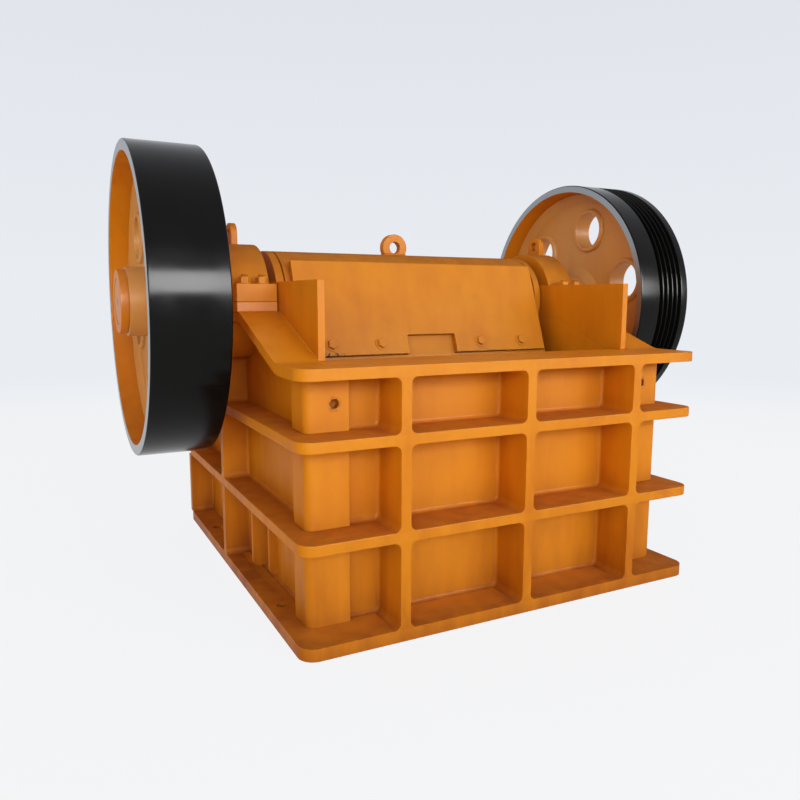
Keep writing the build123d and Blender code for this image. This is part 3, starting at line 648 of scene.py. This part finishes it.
def hexagon_profile(width, height, around):
    """Profile of a hexagon head: flat sides, a chamfered crown and closed poles.

    The radius at angle t is half the width over the cosine of the angle to the nearest flat's middle,
    and the crown trims it to a circle.
    """
    shoulder_share = 0.86
    crown_share = 0.93
    angle = np.linspace(0, 2 * np.pi, around, endpoint=False)
    from_flat = (angle + np.pi / 6) % (np.pi / 3) - np.pi / 6
    side = width / 2 / np.cos(from_flat)
    crown = np.full(around, width / 2 * crown_share)
    heights = np.array([0, 0, height * shoulder_share, height, height])
    radii = np.stack([np.zeros(around), side, side, crown, np.zeros(around)])
    return heights, radii


def hexagon_heads(places, axis, across, width, height, around=24):
    """Grids of hexagon heads that stand on the given places."""
    profile = hexagon_profile(width, height, around)
    return np.stack([turned_points(profile, around, place, axis, across) for place in places])


def washers(places, axis, across, outer, inner, thickness, around=24):
    """Grids of washers: a closed rectangular profile swung round each place."""
    heights = np.array([0, 0, thickness, thickness])
    radii = np.array([inner, outer, outer, inner])
    return np.stack([turned_points((heights, radii), around, place, axis, across) for place in places])


def threaded_ends(places, axis, across, radius, length, pitch, around=16):
    """Grids of stud ends, closed at both ends: the radius goes in and out by half a pitch once a pitch."""
    crests = round(length / pitch)
    heights = np.linspace(0, crests * pitch, 2 * crests + 1)
    radii = radius - 0.5 * pitch * (np.arange(2 * crests + 1) % 2)
    heights = np.concatenate([[0], heights, [heights[-1]]])
    radii = np.concatenate([[0], radii, [0]])
    return np.stack([turned_points((heights, radii), around, place, axis, across) for place in places])


def rounded_outline(corners, radii, inset, steps=5):
    """Points round a rectangular panel, drawn in from its sides by the inset.

    The two sides of a corner have the inward normals n1 and n2. A point at distance d from both is the
    corner + d (n1 + n2). The corner's arc turns about that point, where d is the larger of the corner's
    radius and the inset, from -n1 to -n2 with what the inset leaves of the radius.
    """
    corners = np.asarray(corners, float)
    radii = np.asarray(radii, float)
    sides = np.roll(corners, -1, axis=0) - corners
    sides /= np.linalg.norm(sides, axis=1)[:, None]
    after = np.stack([-sides[:, 1], sides[:, 0]], axis=1)
    before = np.roll(after, 1, axis=0)
    centres = corners + np.maximum(radii, inset)[:, None] * (before + after)
    turn = np.linspace(0, np.pi / 2, steps)[:, None]
    spoke = before[:, None] * np.cos(turn) + after[:, None] * np.sin(turn)
    return (centres[:, None] - np.maximum(radii - inset, 0)[:, None, None] * spoke).reshape(-1, 2)


def fillet_ring(corners, radii, place_of, radius):
    """Grid of the cast fillet round one panel.

    Its section is a concave quarter circle between the panel and the ribs: at angle t it stands
    r (1 - sin t) in from the rib and r (1 - cos t) off the panel, and it closes behind in the corner.
    Each point of the section is the panel's outline, drawn in; place_of puts it into space.
    """
    behind = -1 * MM
    turn = np.linspace(0, np.pi / 2, 6)
    inset = np.append(radius * (1 - np.sin(turn)), behind)
    raised = np.append(radius * (1 - np.cos(turn)), behind)
    return np.stack([place_of(rounded_outline(corners, radii, step_in), step_out)
                     for step_in, step_out in zip(inset, raised)])


def panel_corners(u_low, u_high, v_low, v_high):
    return [(u_low, v_low), (u_high, v_low), (u_high, v_high), (u_low, v_high)]


def on_plane_y(y, outward):
    """Puts outline points (x, z) on a plane of constant y, raised along outward."""
    def place(outline, raised):
        return np.stack([outline[:, 0], np.full(len(outline), y + outward * raised), outline[:, 1]], axis=1)
    return place


def on_plane_x(x, outward):
    """Puts outline points (y, z) on a plane of constant x, raised along outward."""
    def place(outline, raised):
        return np.stack([np.full(len(outline), x + outward * raised), outline[:, 0], outline[:, 1]], axis=1)
    return place


def root_blend(centre, level, towards, place_of, edge):
    """Grid of a thin closed plate over the joint where an upright rib runs into a level one.

    At distance d from the level rib its half width is half the rib + R - sqrt(R^2 - (R - d)^2), which is
    the cast root, less the rounding of the rib's own edge. Its first and last rows close as poles.
    """
    plate = 2 * MM
    distance = np.linspace(0, root_blend_reach, 4)
    flare = rib_root_radius - np.sqrt(rib_root_radius ** 2 - (rib_root_radius - distance) ** 2)
    half = rib_half + flare - edge
    before = [-root_blend_reach, -root_blend_reach]
    along = level + towards * np.concatenate([before, distance, [root_blend_reach]])
    half = np.concatenate([[0, half[0]], half, [0]])
    across = centre + half[:, None] * np.array([-1, 1, 1, -1])
    outline = np.stack([across.reshape(-1), np.repeat(along, 4)], axis=1)
    raised = np.where(half[:, None] > 0, np.array([0, 0, -plate, -plate]), -plate / 2).reshape(-1)
    front = place_of(outline, 0.0)
    depth = place_of(outline, 1.0) - front
    return (front + raised[:, None] * depth).reshape(len(along), 4, 3)


def bead_points(path, up, radius, ripple, closed, per_ripple=5, around=12):
    """Grid of a weld bead: a round section along a path, swelling once a ripple, with closed poles.

    Point (s, t) is path(s) + r(s) (cos t * side + sin t * up'), where side is the path's direction x up,
    up' is side x direction, and r(s) = radius (1 - depth * sin^2(pi s / ripple)).
    """
    depth = 0.22
    steps = np.linalg.norm(np.diff(path, axis=0), axis=1)
    length = np.concatenate([[0], np.cumsum(steps)])
    count = int(length[-1] / ripple) * per_ripple + 1
    at = np.linspace(0, length[-1], count, endpoint=not closed)
    line = np.stack([np.interp(at, length, path[:, axis]) for axis in range(3)], axis=1)
    if closed:
        ahead = np.roll(line, -1, axis=0) - np.roll(line, 1, axis=0)
    else:
        ahead = np.gradient(line, axis=0)
    ahead /= np.linalg.norm(ahead, axis=1)[:, None]
    side = np.cross(ahead, up)
    side /= np.linalg.norm(side, axis=1)[:, None]
    rise = np.cross(side, ahead)
    swell = radius * (1 - depth * np.sin(np.pi * at / ripple) ** 2)
    if not closed:
        swell[[0, -1]] = 0
    turn = np.linspace(0, 2 * np.pi, around, endpoint=False)
    spoke = np.cos(turn)[:, None] * side[:, None] + np.sin(turn)[:, None] * rise[:, None]
    return line[:, None] + swell[:, None, None] * spoke


def coil_points(centre_x, centre_z, start_y, end_y, outer_radius, wire, turns, per_turn=24, around=12):
    """Grid of a coil spring about an axis along y, with closed poles.

    The wire's middle is at angle a = 2 pi * turns * s on the mean radius, and y goes evenly with s; round
    it the wire's circle is wire * (cos b * outwards + sin b * y).
    """
    share = np.linspace(0, 1, int(turns * per_turn))
    angle = 2 * np.pi * turns * share
    outwards = np.stack([np.cos(angle), np.zeros_like(angle), np.sin(angle)], axis=1)
    rise = start_y + wire + (end_y - start_y - 2 * wire) * share
    axis = np.stack([np.full_like(share, centre_x), rise, np.full_like(share, centre_z)], axis=1)
    middle = axis + (outer_radius - wire) * outwards
    thickness = np.full_like(share, wire)
    thickness[[0, -1]] = 0
    turn = np.linspace(0, 2 * np.pi, around, endpoint=False)
    spoke = np.cos(turn)[:, None] * outwards[:, None] + np.sin(turn)[:, None] * np.array([0, 1, 0])
    return middle[:, None] + thickness[:, None, None] * spoke


class CRUSHER_OT_castings(bpy.types.Operator):
    """Gives every node of the crusher its finish and rounds its edges"""

    bl_idname = "crusher.castings"
    bl_label = "Finish castings"

    web_film = 0.35
    milled_gloss = 0.25
    # Shares of brown dust on level tops, which also darkens them as a painted shade: none on the deck, more
    # on the pitman and caps
    deck_settling = 0.0
    top_settling = 0.65
    milled = ("right_bearing_housing", "left_bearing_housing", "flywheel_end_ring", "pulley_end_ring",
              "right_seal_collar", "left_seal_collar")
    dust_and_shade_topped = ("pitman", "right_bearing_cap", "left_bearing_cap")
    joined = ("_upright_ribs", "_side_wall", "_cheek_plate")

    def execute(self, context):
        finish = context.scene.crusher_finish
        by_slot = {
            "orange_enamel": make_enamel(finish),
            "manganese_steel": make_cast_steel(finish),
            "machined_steel": make_turned_steel(finish),
            "spring_steel": make_spring_black(finish),
        }
        by_node = {
            "eccentric_shaft": make_shaft_finish(finish),
            "front_deck_flange": make_enamel(finish, "clean_orange_enamel", settling=self.deck_settling),
        }
        for name in self.milled:
            by_node[name] = make_enamel(finish, "glossy_orange_enamel", gloss=self.milled_gloss)
        for name in self.dust_and_shade_topped:
            by_node[name] = make_enamel(finish, "dust_and_shade_topped_enamel", settling=self.top_settling)
        for wheel in ("flywheel", "pulley"):
            low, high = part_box(wheel + "_web")
            by_node[wheel + "_web"] = make_enamel(finish, "dusty_orange_enamel", film=self.web_film,
                                                  gloss=self.milled_gloss)
            by_node[wheel + "_rim"] = make_rim_finish(finish, wheel + "_rim_enamel", (high.z - low.z) / 2)
        slots = {part["node"]: part["material_slot"] for part in frame["record"]["subparts"]}
        for name, node in frame["nodes"].items():
            node.data.materials.clear()
            node.data.materials.append(by_node.get(name) or by_slot[slots[name]])
            joined = name.endswith(self.joined)
            round_edges(node, finish.rib_edge_radius if joined else finish.edge_radius)
        return {"FINISHED"}


class CRUSHER_OT_panel_fillets(bpy.types.Operator):
    """Casts the fillets round the frame's panels and the blends where its ribs meet"""

    bl_idname = "crusher.panel_fillets"
    bl_label = "Cast panel fillets"

    skin = 0.05 * MM

    def execute(self, context):
        finish = context.scene.crusher_finish
        radius = context.scene.crusher_fittings.fillet_radius
        enamel = make_enamel(finish, "fillet_enamel", polish=0.0)
        root = rib_root_radius
        front = [place + side * rib_half for place in front_rib_places for side in (-1, 1)]
        front = [-post_low.x, *front, post_low.x]
        rear = [-side_wall_low.x, *front[1:-1], side_wall_low.x]
        middle_radii = (root, root, root, root)
        end_radii = [(0, root, root, 0), middle_radii, middle_radii, (root, 0, 0, root)]
        walls = ((front, on_plane_y(front_panel_y, -1)), (rear, on_plane_y(rear_panel_y, 1)))
        side_bays = [(post_high.y, side_rib_y - rib_half), (side_rib_y + rib_half, rear_rib_y - rib_half)]
        rings = []
        for low, high in rib_rows:
            for ends, place_of in walls:
                for column, radii in enumerate(end_radii):
                    corners = panel_corners(ends[2 * column], ends[2 * column + 1], low, high)
                    rings.append(fillet_ring(corners, radii, place_of, radius))
        for low, high in rib_rows[:2]:
            for side in (-1, 1):
                place_of = on_plane_x(side * side_wall_high.x, side)
                for start, end in side_bays:
                    corners = panel_corners(start, end, low, high)
                    rings.append(fillet_ring(corners, (0, 0, 0, 0), place_of, radius))
        piece = new_piece("panel_fillets", np.stack(rings), True, True, "frame", enamel)
        shade_by_angle(piece, 40)

        blends = []
        for low, high in rib_rows:
            for level, towards in ((low, 1), (high, -1)):
                for centre in front_rib_places:
                    for place_of in (on_plane_y(lower_ring_low.y + self.skin, -1),
                                     on_plane_y(lower_ring_high.y - self.skin, 1)):
                        blends.append(root_blend(centre, level, towards, place_of, finish.rib_edge_radius))
        new_piece("rib_blends", np.stack(blends), True, False, "frame", enamel)
        return {"FINISHED"}


class CRUSHER_OT_cap_nuts(bpy.types.Operator):
    """Puts studs, washers and nuts on the ledges of both bearing caps"""

    bl_idname = "crusher.cap_nuts"
    bl_label = "Fit cap nuts"

    ledge_inset = 50 * MM
    side_inset = 43 * MM
    washer_radius = 26 * MM
    washer_thickness = 4 * MM
    nut_height = 22 * MM
    stud_radius = 13.5 * MM
    stud_length = 33 * MM
    thread_pitch = 3 * MM
    nut_turn = 0.3

    def execute(self, context):
        fittings = context.scene.crusher_fittings
        enamel = make_enamel(context.scene.crusher_finish)
        top = cap_low.z + cap_ledge_height
        right_xs = (cap_low.x + self.side_inset, cap_high.x - self.side_inset)
        xs = [side * x for side in (-1, 1) for x in right_xs]
        ys = (cap_low.y + self.ledge_inset, cap_high.y - self.ledge_inset)
        places = np.array([(x, y, top) for x in xs for y in ys])
        up = (0, 0, 1)
        across = (math.cos(self.nut_turn), math.sin(self.nut_turn), 0)
        rings = washers(places, up, across, self.washer_radius, self.stud_radius, self.washer_thickness)
        new_piece("cap_washers", rings, True, True, "frame", enamel)
        on_washer = places + np.array(up) * self.washer_thickness
        nuts = hexagon_heads(on_washer, up, across, fittings.cap_nut_width, self.nut_height)
        new_piece("cap_nuts", nuts, True, False, "frame", enamel)
        studs = threaded_ends(places, up, across, self.stud_radius, self.stud_length, self.thread_pitch)
        piece = new_piece("cap_studs", studs, True, False, "frame", enamel)
        shade_by_angle(piece, 60)
        return {"FINISHED"}


class CRUSHER_OT_guard_bolts(bpy.types.Operator):
    """Puts four bolts with washers through the foot of the guard plate"""

    bl_idname = "crusher.guard_bolts"
    bl_label = "Fit guard bolts"

    across_plate = (-449 * MM, -236 * MM, 236 * MM, 449 * MM)
    rise = 45 * MM
    washer_radius = 27 * MM
    washer_bore = 0.4 * washer_radius
    washer_thickness = 4 * MM
    head_height = 13 * MM

    def execute(self, context):
        fittings = context.scene.crusher_fittings
        enamel = make_enamel(context.scene.crusher_finish)
        up_plate = np.array([0, math.sin(guard_lean), math.cos(guard_lean)])
        outward = np.array([0, -math.cos(guard_lean), math.sin(guard_lean)])
        foot = np.array([0, guard_low.y, guard_low.z + guard_thickness * math.sin(guard_lean)])
        places = np.array([foot + self.rise * up_plate + np.array([x, 0, 0]) for x in self.across_plate])
        across = np.array([1, 0, 0])
        rings = washers(places, outward, across, self.washer_radius, self.washer_bore,
                        self.washer_thickness)
        new_piece("guard_washers", rings, True, True, "swing_jaw", enamel)
        on_washer = places + outward * self.washer_thickness
        heads = hexagon_heads(on_washer, outward, across, fittings.guard_bolt_width, self.head_height)
        new_piece("guard_bolts", heads, True, False, "swing_jaw", enamel)
        return {"FINISHED"}


class CRUSHER_OT_tension_springs(bpy.types.Operator):
    """Winds the two tension springs and puts the nuts on their rods"""

    bl_idname = "crusher.tension_springs"
    bl_label = "Wind tension springs"

    nut_start = 866 * MM
    nut_length = 28 * MM

    def execute(self, context):
        finish = context.scene.crusher_finish
        fittings = context.scene.crusher_fittings
        outer = (spring_high.z - spring_low.z) / 2
        centre_z = (spring_high.z + spring_low.z) / 2
        centres_x = (spring_low.x + outer, spring_high.x - outer)
        wire = fittings.spring_wire_radius
        coils = [coil_points(x, centre_z, spring_low.y, spring_high.y, outer, wire, fittings.spring_turns)
                 for x in centres_x]
        black = bpy.data.materials["black_spring_steel"]
        springs = new_piece("wound_springs", np.stack(coils), True, False, "swing_jaw", black)
        shade_by_angle(springs, 60)
        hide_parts("tension_springs")
        places = [(x, self.nut_start, centre_z) for x in centres_x]
        nuts = hexagon_heads(places, (0, 1, 0), (1, 0, 0), fittings.rod_nut_width, self.nut_length)
        steel = bpy.data.materials["turned_steel"]
        new_piece("rod_nuts", nuts, True, False, "swing_jaw", steel)
        return {"FINISHED"}


class CRUSHER_OT_welds(bpy.types.Operator):
    """Lays weld beads along the feet of the cheek plates and round the foot of the lifting eye"""

    bl_idname = "crusher.welds"
    bl_label = "Lay weld beads"

    eye_foot_radius = 3 * MM
    eye_foot_rise = 1 * MM

    def execute(self, context):
        fittings = context.scene.crusher_fittings
        enamel = make_enamel(context.scene.crusher_finish, "fillet_enamel", polish=0.0)
        up = np.array([0, 0, 1])
        beads = []
        for side in (-1, 1):
            for start, end in cheek_feet:
                path = np.array([(side * cheek_high.x, *start), (side * cheek_high.x, *end)])
                beads.append(bead_points(path, up, fittings.weld_radius, fittings.weld_ripple, False))
        for number, bead in enumerate(beads):
            name = f"cheek_weld_{number}"
            piece = new_piece(name, bead[None], True, False, "frame", enamel)
            piece.data.shade_smooth()

        half_width = (eye_high.x - eye_low.x) / 2
        sunk = eye_high.z - half_width - eye_low.z
        half_foot = math.sqrt(half_width ** 2 - sunk ** 2)
        half_thickness = (eye_high.y - eye_low.y) / 2
        centre_x = (eye_high.x + eye_low.x) / 2
        corners = panel_corners(centre_x - half_foot, centre_x + half_foot,
                                shaft_y - half_thickness, shaft_y + half_thickness)
        loop = rounded_outline(corners, np.full(4, self.eye_foot_radius), 0)
        loop = np.concatenate([loop, loop[:1]])
        path = np.column_stack([loop, np.full(len(loop), eye_low.z + self.eye_foot_rise)])
        bead = bead_points(path, up, fittings.weld_radius, fittings.weld_ripple, True)
        piece = new_piece("eye_weld", bead[None], True, True, "swing_jaw", enamel)
        piece.data.shade_smooth()
        return {"FINISHED"}


class CRUSHER_OT_stage(bpy.types.Operator):
    """Sets the camera, the soft light, the pale floor and the background"""

    bl_idname = "crusher.stage"
    bl_label = "Set the stage"

    # Camera fitted to the photograph's frame of 800 by 800 pixels
    frame_px = 800
    focal_px = 715.58
    centre_px = (394.45, 400.59)
    sensor_mm = 36
    camera_place = (-1.4926, -2.7734, 1.1043)
    heading_deg = -26.966
    pitch_deg = -8.165
    roll_deg = 0.116

    # Long level strips in front: heading and height in degrees, distance and size in metres
    strips = {
        "front_strip": (-8.0, 13.5, 8.5, (16.0, 2.1)),
        "sheen_strip": (0.0, 13.5, 8.2, (17.4, 2.0)),
        "upper_strip": (0.0, 31.0, 8.5, (18.0, 1.1)),
    }

    # Half the floor's width, and how far out in metres its own colour goes over into the horizon's
    floor_half = 40.0
    floor_fade = (3.0, 9.0)

    # Share of the floor that shows at its own colour near the object, the rest takes light and shadow
    floor_glow = 0.88

    # Rise of the view, as its z, over which the backdrop goes from the horizon's colour to the upper one
    sky_fade = (0.02, 0.38)

    def execute(self, context):
        stage = context.scene.crusher_stage
        scene = context.scene
        scene.view_settings.view_transform = "Standard"
        self.add_camera(scene)
        front = self.add_strip(scene, "front_strip", stage.strip_power)
        front.visible_glossy = False
        front.data.color = stage.strip_tint[:3]
        self.add_strip(scene, "upper_strip", stage.upper_power)
        sheen = self.add_strip(scene, "sheen_strip", stage.sheen_power)
        sheen.visible_diffuse = False
        self.add_sky(scene, stage)
        self.add_floor(scene, stage)
        return {"FINISHED"}

    def add_camera(self, scene):
        lens = bpy.data.cameras.new("camera")
        lens.sensor_width = self.sensor_mm
        lens.lens = self.focal_px / self.frame_px * self.sensor_mm
        lens.shift_x = (self.frame_px / 2 - self.centre_px[0]) / self.frame_px
        lens.shift_y = (self.centre_px[1] - self.frame_px / 2) / self.frame_px
        camera = bpy.data.objects.new("camera", lens)
        heading = Matrix.Rotation(math.radians(self.heading_deg), 4, "Z")
        tilt = Matrix.Rotation(math.radians(90 + self.pitch_deg), 4, "X")
        roll = Matrix.Rotation(math.radians(self.roll_deg), 4, "Z")
        camera.matrix_world = Matrix.Translation(self.camera_place) @ heading @ tilt @ roll
        scene.collection.objects.link(camera)
        scene.camera = camera

    def add_strip(self, scene, name, power):
        """A long level lamp that faces the object and stays out of every camera's sight."""
        heading, height, distance, size = self.strips[name]
        light = bpy.data.lights.new(name, "AREA")
        light.shape = "RECTANGLE"
        light.size, light.size_y = size
        light.energy = power
        lamp = bpy.data.objects.new(name, light)
        turn = math.radians(heading)
        rise = math.radians(height)
        direction = Vector((math.sin(turn) * math.cos(rise), -math.cos(turn) * math.cos(rise),
                            math.sin(rise)))
        target = Vector((0, 0, shaft_z))
        lamp.location = target + direction * distance
        lamp.rotation_euler = direction.to_track_quat("Z", "Y").to_euler()
        lamp.visible_camera = False
        scene.collection.objects.link(lamp)
        return lamp

    def seen_directly(self, tree):
        """One where a ray comes from the camera, a mirror or glass, and zero where it lights the object."""
        path = add_node(tree, "ShaderNodeLightPath")
        mirror = add_node(tree, "ShaderNodeMath",
                          {0: path.outputs["Is Camera Ray"], 1: path.outputs["Is Glossy Ray"]},
                          operation="MAXIMUM")
        return add_node(tree, "ShaderNodeMath",
                        {0: mirror.outputs[0], 1: path.outputs["Is Transmission Ray"]},
                        operation="MAXIMUM")

    def add_sky(self, scene, stage):
        """Even soft light all round, behind which a pale backdrop shows that darkens a little upwards."""
        world = bpy.data.worlds.new("pale_sky")
        world.use_nodes = True
        tree = world.node_tree
        tree.nodes.clear()
        place = add_node(tree, "ShaderNodeTexCoord")
        direction = add_node(tree, "ShaderNodeSeparateXYZ", {"Vector": place.outputs["Generated"]})
        height = add_node(tree, "ShaderNodeMapRange",
                          {"Value": direction.outputs["Z"], "From Min": self.sky_fade[0],
                           "From Max": self.sky_fade[1]})
        backdrop = add_node(tree, "ShaderNodeMix",
                            {"Factor": height.outputs[0], COLOUR_A: stage.horizon, COLOUR_B: stage.zenith},
                            data_type="RGBA")
        strength = add_node(tree, "ShaderNodeMapRange",
                            {"Value": direction.outputs["Z"], "To Min": stage.horizon_strength,
                             "To Max": stage.zenith_strength})
        ambient = add_node(tree, "ShaderNodeBackground",
                           {"Color": stage.sky_tint, "Strength": strength.outputs[0]})
        seen = add_node(tree, "ShaderNodeBackground",
                        {"Color": backdrop.outputs[MIXED_COLOUR], "Strength": 1.0})
        direct = self.seen_directly(tree)
        mixed = add_node(tree, "ShaderNodeMixShader",
                         {0: direct.outputs[0], 1: ambient.outputs[0], 2: seen.outputs[0]})
        add_node(tree, "ShaderNodeOutputWorld", {"Surface": mixed.outputs[0]})
        scene.world = world

    def add_floor(self, scene, stage):
        """A level matt floor, pale near the object, whose colour fades into the background away from it."""
        half = self.floor_half
        corners = [(-half, -half, 0), (half, -half, 0), (half, half, 0), (-half, half, 0)]
        mesh = bpy.data.meshes.new("floor")
        mesh.from_pydata(corners, [], [(0, 1, 2, 3)])
        material, tree, place = new_material("pale_floor")
        distance = add_node(tree, "ShaderNodeVectorMath", {0: place.outputs["Object"]}, operation="LENGTH")
        far = add_node(tree, "ShaderNodeMapRange",
                       {"Value": distance.outputs["Value"], "From Min": self.floor_fade[0],
                        "From Max": self.floor_fade[1]}, interpolation_type="SMOOTHSTEP")
        colour = add_node(tree, "ShaderNodeMix",
                          {"Factor": far.outputs[0], COLOUR_A: stage.floor, COLOUR_B: stage.horizon},
                          data_type="RGBA")
        glow = add_node(tree, "ShaderNodeMapRange",
                        {"Value": far.outputs[0], "To Min": self.floor_glow, "To Max": 1.0})
        direct = self.seen_directly(tree)
        share = add_node(tree, "ShaderNodeMath", {0: glow.outputs[0], 1: direct.outputs[0]},
                         operation="MULTIPLY")
        matt = add_node(tree, "ShaderNodeBsdfDiffuse", {"Color": colour.outputs[MIXED_COLOUR]})
        pale = add_node(tree, "ShaderNodeEmission",
                        {"Color": colour.outputs[MIXED_COLOUR], "Strength": 1.0})
        mixed = add_node(tree, "ShaderNodeMixShader",
                         {0: share.outputs[0], 1: matt.outputs[0], 2: pale.outputs[0]})
        finish_material(tree, mixed)
        mesh.materials.append(material)
        floor = bpy.data.objects.new("floor", mesh)
        scene.collection.objects.link(floor)


class CRUSHER_PT_sidebar(bpy.types.Panel):
    """The crusher's pieces and finishes"""

    bl_label = "Jaw crusher"
    bl_space_type = "VIEW_3D"
    bl_region_type = "UI"
    bl_category = "Crusher"

    def draw(self, context):
        layout = self.layout
        for operator in operators:
            layout.operator(operator.bl_idname)
        for group_name, group in property_groups.items():
            for name in group.__annotations__:
                layout.prop(getattr(context.scene, group_name), name)


property_groups = {
    "crusher_finish": CrusherFinish,
    "crusher_fittings": CrusherFittings,
    "crusher_stage": CrusherStage,
}
operators = [CRUSHER_OT_castings, CRUSHER_OT_panel_fillets, CRUSHER_OT_cap_nuts, CRUSHER_OT_guard_bolts,
             CRUSHER_OT_tension_springs, CRUSHER_OT_welds, CRUSHER_OT_stage]


def register():
    for name, group in property_groups.items():
        bpy.utils.register_class(group)
        setattr(bpy.types.Scene, name, PointerProperty(type=group))
    for operator in operators:
        bpy.utils.register_class(operator)
    bpy.utils.register_class(CRUSHER_PT_sidebar)


def unregister():
    bpy.utils.unregister_class(CRUSHER_PT_sidebar)
    for operator in reversed(operators):
        bpy.utils.unregister_class(operator)
    for name, group in property_groups.items():
        delattr(bpy.types.Scene, name)
        bpy.utils.unregister_class(group)


def main():
    register()
    bpy.ops.crusher.castings()
    bpy.ops.crusher.panel_fillets()
    bpy.ops.crusher.cap_nuts()
    bpy.ops.crusher.guard_bolts()
    bpy.ops.crusher.tension_springs()
    bpy.ops.crusher.welds()
    bpy.ops.crusher.stage()


if __name__ == "__main__":
    main()
